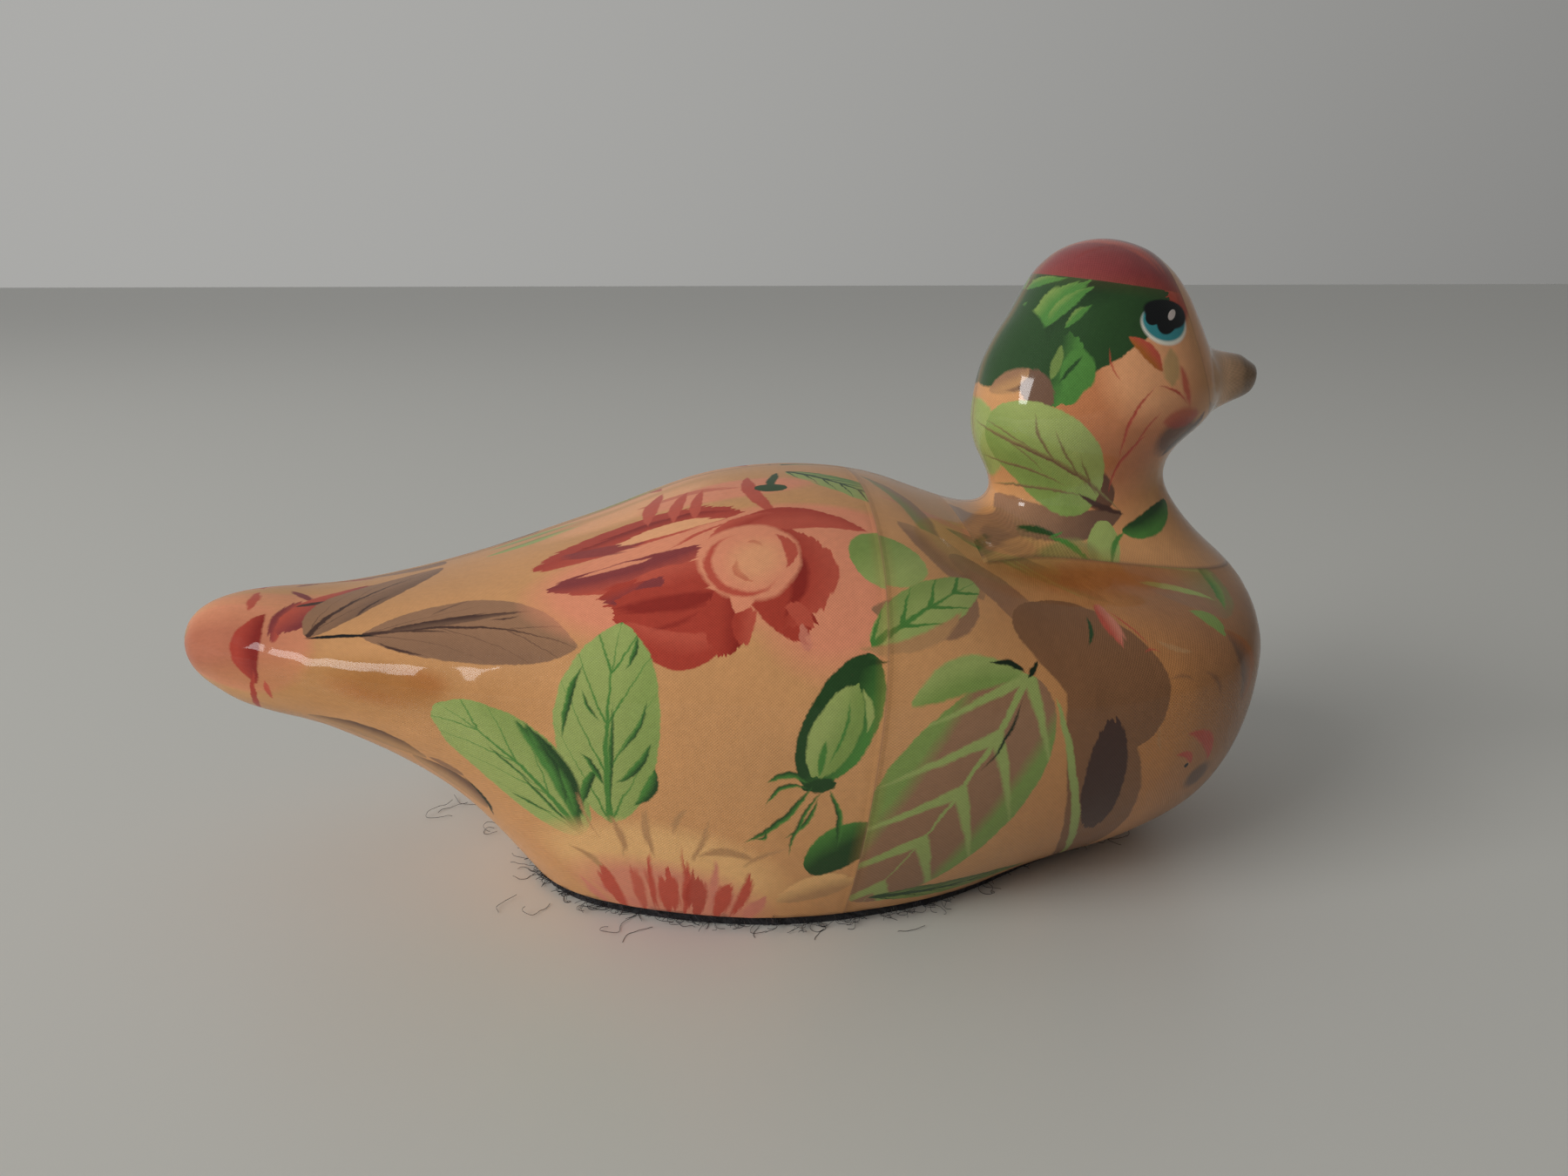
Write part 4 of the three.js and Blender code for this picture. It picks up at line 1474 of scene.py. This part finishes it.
def crown_figures() -> list[Figure]:
    """The red petals of the patch over the crown, with painted shade over its top.

    Returns:
        The figures in the order that they are laid.
    """
    return [
        Blot((1262, 280), 40, 40, Dye.RED),
        # Painted shade: a soft maroon darkening over the crown's top, its rim left red.
        Blot((1262, 276), 24, 16, Dye.MAROON, softness=0.8),
        Stroke((1190, 306), (1335, 318), 3.4, Dye.ROSE, bend=1.6, edge=1.0, strength=0.8),
        Stroke((1230, 300), (1330, 300), 2.4, Dye.DEEP, bend=1.2, edge=1.0, strength=0.6),
        Stroke((1200, 292), (1290, 276), 3.0, Dye.DEEP, bend=1.5, edge=1.2, strength=0.6),
        Stroke((1270, 276), (1340, 320), 2.6, Dye.ROSE, bend=1.0, edge=1.0, strength=0.7),
    ]


def face_figures() -> list[Figure]:
    """What shows on the patch over the forehead.

    Returns:
        The figures in the order that they are laid.
    """
    return [
        Blot((1372, 330), 9, 16, Dye.PEACH, softness=0.6, strength=0.7),
        Blot((1362, 440), 5, 9, Dye.SALMON, softness=0.6, strength=0.7),
        Stroke((1362, 300), (1384, 372), 1.0, Dye.ROSE, bend=0.9, strength=0.7),
        Stroke((1376, 352), (1402, 392), 3.0, Dye.SALMON, bend=0.8, feather=0.1, shade=Dye.ROSE,
               strength=0.7),
        Stroke((1368, 462), (1398, 478), 3.2, Dye.TAN, bend=-0.8, feather=0.1, shade=Dye.BROWN),
    ]


@dataclass
class DuckCovering:
    """The duck's lacquered skin of cloth patches, over the form of the solid body."""

    smoothing_levels: int = 2
    most_bend: float = 50.0  # degrees between CAD triangles that are joined into one four-sided face
    most_skew: float = 60.0
    base_play: float = 0.01 * MM  # how far a corner of the base may lie off it
    flat_enough: float = 0.98  # upward part of a flat face's normal
    cut_play: float = 1e-6
    flank_gloss: float = 0.45
    breast_gloss: float = 0.7
    flank_shift: tuple[float, float] = (17, -6)  # mm that the far side's print lies off the mirrored one
    breast_shift: tuple[float, float] = (-7, 9)
    cell: float = 32.0  # mm, the stretch of cloth that shares one material
    spine_seam: Seam = Seam((0, 8.0, 50), (-0.04, 1.0, 0.12))
    breast_seam: Seam = Seam((15.5, 0, 12), (1.0, 0.0, -0.11))
    neck_seam: Seam = Seam((42, 0, 61), (0.12, 0.0, 1.0), 40.0)
    neck_back: Seam = Seam((40, 0, 60), (1.0, 0.0, 0.0))
    head_seam: Seam = Seam((0, 0.5, 0), (0.0, 1.0, 0.0))
    crown_seam: Seam = Seam((62, 0, 108.2), (0.14, 0.0, 1.0), strength=0.2)
    face_seam: Seam = Seam((82.0, 0, 101), (1.0, 0.0, 0.35), strength=0.6)
    camera: PhotoCamera = field(default_factory=PhotoCamera)

    def build(self) -> bpy.types.Object:
        """Makes the covering.

        Returns:
            The piece, which stands for the CAD body.
        """
        mesh = self._smooth_copy(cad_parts["duck_body"])
        points = [v.co / MM for v in mesh.vertices]
        self.tree = BVHTree.FromPolygons(points, [p.vertices for p in mesh.polygons])
        piece = placed("duck_covering", mesh)
        self._dress(mesh, self._patches())
        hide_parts("duck_body")
        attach(piece, "root")
        return piece

    def _smooth_copy(self, node: bpy.types.Object) -> bpy.types.Mesh:
        """A rounded copy of the CAD mesh, cut along the seams.

        Args:
            node: The CAD body's node.

        Returns:
            The mesh, before it has any material.
        """
        shell = bmesh.new()
        shell.from_mesh(node.data)
        bmesh.ops.remove_doubles(shell, verts=shell.verts, dist=WELD)
        bmesh.ops.join_triangles(shell, faces=shell.faces, angle_face_threshold=math.radians(self.most_bend),
                                 angle_shape_threshold=math.radians(self.most_skew))
        base = min(v.co.z for v in shell.verts)
        crease = shell.edges.layers.float.new("crease_edge")
        rim = [e for e in shell.edges
               if all(abs(v.co.z - base) < self.base_play for v in e.verts)
               and any(abs(f.normal.z) < self.flat_enough for f in e.link_faces)]
        for edge in rim:
            edge[crease] = 1.0
        mesh = mesh_of(shell, "duck_rough")
        holder = placed("duck_rounding", mesh)
        rounding = holder.modifiers.new("rounding", "SUBSURF")
        rounding.levels = rounding.render_levels = self.smoothing_levels
        graph = bpy.context.evaluated_depsgraph_get()
        rounded = bpy.data.meshes.new_from_object(holder.evaluated_get(graph))
        bpy.data.objects.remove(holder)
        bpy.data.meshes.remove(mesh)
        shell = bmesh.new()
        shell.from_mesh(rounded)
        bpy.data.meshes.remove(rounded)
        for seam in (self.spine_seam, self.breast_seam, self.neck_seam, self.neck_back, self.head_seam,
                     self.crown_seam, self.face_seam):
            everything = [*shell.verts, *shell.edges, *shell.faces]
            bmesh.ops.bisect_plane(shell, geom=everything, dist=self.cut_play,
                                   plane_co=Vector(seam.point) * MM, plane_no=Vector(seam.normal))
        for face in shell.faces:
            face.smooth = True
        bmesh.ops.recalc_face_normals(shell, faces=shell.faces)
        return mesh_of(shell, "duck_covering")

    def _patches(self) -> dict[str, Patch]:
        """The patches of cloth by name.

        Returns:
            Each patch by its kind and side.
        """
        flank = tail_figures() + saddle_figures() + great_rose() + flank_leaves() + shoulder_figures()
        flank += low_flank_figures()
        breast = shoulder_figures() + breast_figures()
        patches = {}
        for side in Side:
            way = side.value
            shifts = (self.flank_shift, self.breast_shift) if side is Side.LEFT else ((0, 0), (0, 0))
            breast_lay = RoundLay("breast", middle=(42, 0, 36), radius=47, facing=(0.62, 0.78 * way, 0.0))
            crown_lay = RoundLay("crown", middle=(70, 0, 92), radius=19, facing=(0.1, 0.3 * way, 1.0))
            face_lay = RoundLay("face", middle=(70, 0, 88), radius=18, facing=(0.7, 0.7 * way, 0))
            for patch in (
                Patch("flank", FlankLay("flank"), side, flank, self.flank_gloss, shifts[0]),
                Patch("breast", breast_lay, side, breast, self.breast_gloss, shifts[1]),
                Patch("head", NeckLay("head"), side, head_figures()),
                Patch("crown", crown_lay, side, crown_figures()),
                Patch("face", face_lay, side, face_figures()),
            ):
                patches[f"{patch.name}_{side.name}"] = patch
        return patches

    def _patch_at(self, point: Vector) -> str:
        """The name of the patch that covers a point.

        Args:
            point: A point of the duck in millimetres.

        Returns:
            The patch's name.
        """
        if self.neck_seam.beyond(point) and self.neck_back.beyond(point):
            side = Side.LEFT if self.head_seam.beyond(point) else Side.RIGHT
            kind = "crown" if self.crown_seam.beyond(point) else "head"
            kind = "face" if self.face_seam.beyond(point) else kind
        else:
            side = Side.LEFT if self.spine_seam.beyond(point) else Side.RIGHT
            kind = "breast" if self.breast_seam.beyond(point) else "flank"
        return f"{kind}_{side.name}"

    def _spot(self, patch: Patch) -> Spot:
        """A function that finds the cloth's place under a pixel, on the near or the mirrored side.

        Args:
            patch: The patch whose cloth it is.

        Returns:
            The function, which keeps what it found.
        """
        found: dict[Pixel, Vector] = {}

        def spot(pixel: Pixel) -> Vector:
            """The cloth's place under a pixel, which lies further round the duck when the pixel misses it.

            Args:
                pixel: Across and down in the photograph.

            Returns:
                The place in millimetres of cloth.
            """
            if pixel not in found:
                eye = Vector(self.camera.place) / MM
                ray = self.camera.ray(pixel)
                hit = self.tree.ray_cast(eye, ray)[0]
                if hit is None:
                    distances = self.camera.duck_distances
                    steps = (self.tree.find_nearest(eye + ray * away) for away in distances)
                    edge, _, _, missed = min(steps, key=lambda near: near[3])
                    hit = self.tree.find_nearest(edge + ray * missed)[0]
                if patch.side is Side.LEFT:
                    hit = Vector((hit.x, -hit.y, hit.z))
                found[pixel] = patch.lay.cloth(hit) + Vector((*patch.shift, 0))
            return found[pixel]

        return spot

    def _dress(self, mesh: bpy.types.Mesh, patches: dict[str, Patch]) -> None:
        """Gives each face its place on the cloth and a material with the figures that are printed there.

        Args:
            mesh: The covering's mesh.
            patches: The patches by name.
        """
        spots = {name: self._spot(patch) for name, patch in patches.items()}
        circles = {name: [figure.bounds(spots[name]) for figure in patch.figures]
                   for name, patch in patches.items()}
        layer = mesh.uv_layers.new(name="cloth")
        cells: dict[tuple, list[int]] = {}
        for face in mesh.polygons:
            middle = face.center / MM
            name = self._patch_at(middle)
            lay = patches[name].lay
            for corner in face.loop_indices:
                point = mesh.vertices[mesh.loops[corner].vertex_index].co / MM
                layer.data[corner].uv = lay.cloth(point).xy
            place = lay.cloth(middle)
            cell = (name, round(place.x / self.cell), round(place.y / self.cell))
            cells.setdefault(cell, []).append(face.index)
        shared: dict[tuple, int] = {}
        reach = self.cell * math.sqrt(0.5)
        for (name, i, j), faces in cells.items():
            middle = Vector((i * self.cell, j * self.cell, 0))
            near = tuple(k for k, (spot, radius) in enumerate(circles[name])
                         if (spot - middle).length < radius + reach + MARGIN)
            if (name, near) not in shared:
                shared[name, near] = len(mesh.materials)
                mesh.materials.append(self._material(name, patches[name], near, spots[name]))
            for face in faces:
                mesh.polygons[face].material_index = shared[name, near]
        LOG.info("covering: %d stretches of cloth", len(mesh.materials))

    def _seams_of(self, patch: Patch) -> list[Seam]:
        """The cuts round a patch.

        Args:
            patch: The patch.

        Returns:
            The cuts that show on it.
        """
        return {
            "flank": [self.spine_seam, self.breast_seam],
            "breast": [self.spine_seam, self.breast_seam, self.neck_seam],
            "head": [self.head_seam, self.neck_seam, self.crown_seam, self.face_seam],
            "crown": [self.head_seam, self.crown_seam, self.face_seam],
            "face": [self.face_seam],
        }[patch.name]

    def _material(self, name: str, patch: Patch, near: Iterable[int], spot: Spot) -> bpy.types.Material:
        """The material of one stretch of cloth.

        Args:
            name: The patch's name.
            patch: The patch.
            near: Which of its figures reach this stretch.
            spot: Finds the cloth's place under a pixel.

        Returns:
            The material.
        """
        cloth = Cloth(f"lacquered_{name.lower()}_print")
        figures = [patch.figures[index] for index in near]
        printed = [figure for figure in figures if not isinstance(figure, Eye)]
        for figure in printed:
            figure.paint(cloth, spot)
        cloth.specks()
        if patch.name == "face":
            cloth.paint_bill(BillPaint())
        cloth.cut(self._seams_of(patch))
        for figure in figures:
            if isinstance(figure, Eye):
                figure.paint(cloth, spot)
        Lacquer().dress(cloth, patch.gloss)
        return cloth.shader.material


@dataclass
class Fibres:
    """Wool fibres that stand out of the felt's cut edge, and hairs of it that lie on the table."""

    radius: float = 0.04 * MM
    step: float = 0.45 * MM
    edge_count: int = 1500
    edge_length: float = 8.0 * MM
    edge_height: float = 1.8 * MM
    lowest_root: float = 0.1  # share of that height
    root_depth: float = 0.3 * MM
    edge_curl: float = 0.45
    edge_strays: float = 0.9  # how far its way strays from straight out
    edge_lifts: float = 0.25
    hair_length: float = 15 * MM
    hair_curl: float = 0.22
    hair_lift: float = 0.2 * MM
    shortest_hair: float = 0.3  # share of the longest
    curl_change: float = 0.6
    turn_kept: float = 0.8  # share of one step's turn that the next step keeps
    lift_kept: float = 0.7
    lift_strays: float = 0.12
    shed: tuple[tuple[Pixel, Pixel, int], ...] = (
        ((500, 925), (600, 980), 5), ((560, 985), (800, 1070), 10), ((1225, 950), (1290, 972), 3),
        ((1050, 1035), (1080, 1068), 2),
    )
    seed: int = 11

    def build(self, rim: Sequence[Vector], camera: PhotoCamera) -> bpy.types.Object:
        """Makes the fibres.

        Args:
            rim: The felt's outline on the table.
            camera: The camera whose pixels say where hairs lie.

        Returns:
            The piece.
        """
        self.chance = random.Random(self.seed)
        self.mesh = bmesh.new()
        middle = sum(rim, Vector()) / len(rim)
        for _ in range(self.edge_count):
            place = self.chance.uniform(0, len(rim))
            first, second = rim[int(place)], rim[(int(place) + 1) % len(rim)]
            start = first.lerp(second, place % 1.0)
            start.z = self.chance.uniform(self.lowest_root, 1.0) * self.edge_height
            out = (start - middle).xy.to_3d().normalized()
            side = Vector((-out.y, out.x, 0))
            way = out + side * self.chance.gauss(0, self.edge_strays)
            way += Vector((0, 0, self.chance.gauss(0, self.edge_lifts)))
            length = self.edge_length * self.chance.random() ** 2
            self._strand(start - out * self.root_depth, way, length, self.edge_curl)
        for low, high, count in self.shed:
            for _ in range(count):
                pixel = (self.chance.uniform(low[0], high[0]), self.chance.uniform(low[1], high[1]))
                ray = camera.ray(pixel)
                start = Vector(camera.place) - ray * (camera.place[2] / ray.z)
                start.z = self.hair_lift
                heading = self.chance.uniform(0, 2 * math.pi)
                way = Vector((math.cos(heading), math.sin(heading), 0))
                length = self.hair_length * self.chance.uniform(self.shortest_hair, 1.0)
                self._strand(start, way, length, self.hair_curl)
        bmesh.ops.recalc_face_normals(self.mesh, faces=self.mesh.faces)
        piece = placed("felt_fibres", mesh_of(self.mesh, "felt_fibres"))
        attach(piece, "root")
        LOG.info("fibres: %d round the edge and %d shed, %d faces", self.edge_count,
                 sum(count for _, _, count in self.shed), len(piece.data.polygons))
        return piece

    def _strand(self, start: Vector, way: Vector, length: float, curl: float) -> None:
        """Adds one curly fibre as a three-sided tube that stays above the table.

        Args:
            start: Where it begins.
            way: Where it heads at first.
            length: Its length.
            curl: How much it turns at each step.
        """
        rings = []
        point = start.copy()
        way = way.normalized()
        turn = self.chance.gauss(0, curl)
        for _ in range(max(3, round(length / self.step))):
            side = Vector((-way.y, way.x, 0)).normalized() * self.radius
            lift = Vector((0, 0, self.radius))
            rings.append([self.mesh.verts.new(point + shift) for shift in (side - lift, -side - lift, lift)])
            turn = self.turn_kept * turn + self.chance.gauss(0, curl * self.curl_change)
            way = Matrix.Rotation(turn, 3, "Z") @ way
            way.z = self.lift_kept * way.z + self.chance.gauss(0, self.lift_strays)
            way.normalize()
            point = point + way * self.step
            point.z = max(point.z, 2 * self.radius)
        for a, b in zip(rings, rings[1:]):
            for i in range(3):
                j = (i + 1) % 3
                self.mesh.faces.new((a[i], a[j], b[j], b[i]))
        self.mesh.faces.new(rings[0])
        self.mesh.faces.new(rings[-1][::-1])


@dataclass
class FeltBase:
    """The black felt under the flat base, with its fuzzy cut edge and stray hairs."""

    fibres: Fibres = field(default_factory=Fibres)
    dark_wool: str = "141416"
    pale_wool: str = "34343a"
    wool_scale: float = 900.0  # per metre
    wool_depth: float = 0.4 * MM
    wool_roughness: float = 0.95
    wool_sheen: float = 0.3
    sheen_roughness: float = 0.5

    def build(self) -> bpy.types.Object:
        """Makes the felt from the outline of its CAD solid.

        Returns:
            The piece, which stands for the CAD felt.
        """
        pad = bmesh.new()
        pad.from_mesh(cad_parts["felt_pad"].data)
        bmesh.ops.remove_doubles(pad, verts=pad.verts, dist=WELD)
        bmesh.ops.dissolve_limit(pad, angle_limit=math.radians(1), verts=pad.verts, edges=pad.edges)
        upright = [e for e in pad.edges if abs((e.verts[0].co - e.verts[1].co).z) > MM]
        bmesh.ops.subdivide_edges(pad, edges=upright, cuts=3, use_grid_fill=True)
        area = sum(f.calc_area() for f in pad.faces if f.normal.z > 0.9)
        mesh = mesh_of(pad, "felt_sheet")
        piece = placed("felt_sheet", mesh)
        low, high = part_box("felt_pad")
        wool = self._material()
        mesh.materials.append(wool)
        table = min(v.co.z for v in mesh.vertices)
        rim = [v.co.copy() for v in mesh.vertices if v.co.z < table + 0.1 * MM]
        rim.sort(key=lambda point: math.atan2(point.y, point.x))
        fuzz = self.fibres.build(rim, PhotoCamera())
        fuzz.data.materials.append(wool)
        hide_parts("felt_pad")
        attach(piece, "root")
        high[1] - low[1]
        high[0] - low[0]
        LOG.info("felt: %.0f square centimetres", area * 1e4)
        return piece

    def _material(self) -> bpy.types.Material:
        """Matted black wool.

        Returns:
            The material of the sheet and its fibres.
        """
        shader = Shader("black_felt")
        place = shader.node("ShaderNodeTexCoord", {}, {}, "Object")
        wool = shader.noise(place, self.wool_scale, 4.0)
        inputs = {"Height": wool * self.wool_depth, "Distance": 1.0, "Strength": 1.0}
        bump = shader.node("ShaderNodeBump", {}, inputs)
        shader.set(Base_Color=shader.mix(wool, linear(self.dark_wool), linear(self.pale_wool)), Normal=bump,
                   Roughness=self.wool_roughness, Sheen_Weight=self.wool_sheen,
                   Sheen_Roughness=self.sheen_roughness)
        return shader.material


@dataclass(frozen=True)
class Studio:
    """A pale floor and soft lights."""

    floor_reach: float = 6.0
    floor_colour: tuple[float, float, float, float] = (0.70, 0.70, 0.67, 1.0)
    floor_roughness: float = 0.35
    aim: tuple[float, float, float] = (0.02, 0, 0.04)
    window_place: tuple[float, float, float] = (-1.55, -0.76, 0.82)
    window_size: float = 1.2
    window_power: float = 25.0
    glint_place: tuple[float, float, float] = (-0.82, -0.39, 0.40)
    glint_size: float = 0.22
    glint_power: float = 1.7
    room_light: float = 0.19
    room_contrast: float = 0.235
    darkest_wall: float = 0.11
    bright_side: tuple[float, float, float] = (-0.52, 0.76, 0.30)
    daylight: tuple[float, float, float] = (1.0, 0.985, 0.95)
    white: tuple[float, float, float] = (1.0, 1.0, 1.0)
    room_colour: tuple[float, float, float, float] = (1.0, 0.995, 0.965, 1.0)

    def build(self) -> None:
        """Makes the floor, the lights and the grey surroundings."""
        ground = bmesh.new()
        bmesh.ops.create_grid(ground, x_segments=1, y_segments=1, size=self.floor_reach)
        floor = placed("floor", mesh_of(ground, "floor"))
        shader = Shader("pale_floor")
        shader.set(Base_Color=self.floor_colour, Roughness=self.floor_roughness)
        floor.data.materials.append(shader.material)
        window = self._lamp("window", self.window_place, self.window_size, self.window_power, self.daylight)
        window.visible_glossy = False
        glint = self._lamp("window_glint", self.glint_place, self.glint_size, self.glint_power, self.white)
        glint.visible_diffuse = False
        self._surroundings()
        bpy.context.scene.view_settings.view_transform = "Standard"

    def _surroundings(self) -> None:
        """Makes a grey room that is brighter on the window's side and behind the duck."""
        world = bpy.data.worlds.new("room_light")
        world.use_nodes = True
        room = Graph(world.node_tree)
        way = room.node("ShaderNodeTexCoord", {}, {}, "Generated")
        towards = room.vector("DOT_PRODUCT", {0: way, 1: self.bright_side}, "Value")
        bright = towards.fitted(self.room_contrast, self.room_light).math("MAXIMUM", self.darkest_wall)
        background = world.node_tree.nodes["Background"]
        background.inputs["Color"].default_value = self.room_colour
        world.node_tree.links.new(bright.socket, background.inputs["Strength"])
        bpy.context.scene.world = world

    def _lamp(self, name: str, place: Sequence[float], size: float, power: float,
              colour: Sequence[float]) -> bpy.types.Object:
        """Adds a soft lamp that faces the duck.

        Args:
            name: Its name.
            place: Where it hangs, in metres.
            size: Its side in metres.
            power: Its power in watts.
            colour: Its colour.

        Returns:
            The lamp.
        """
        data = bpy.data.lights.new(name, "AREA")
        data.shape = "SQUARE"
        data.size = size
        data.energy = power
        data.color = colour
        lamp = placed(name, data)
        way = Vector(self.aim) - Vector(place)
        lamp.matrix_world = Matrix.Translation(place) @ way.to_track_quat("-Z", "Y").to_matrix().to_4x4()
        return lamp


def main() -> None:
    """Builds the duck, its felt and the studio."""
    logging.basicConfig(level=logging.INFO, format="%(message)s")
    PhotoCamera().build()
    for part in (DuckCovering(), FeltBase()):
        piece = part.build()
        LOG.info("%s: %d faces", piece.name, len(piece.data.polygons))
    Studio().build()


if __name__ == "__main__":
    main()
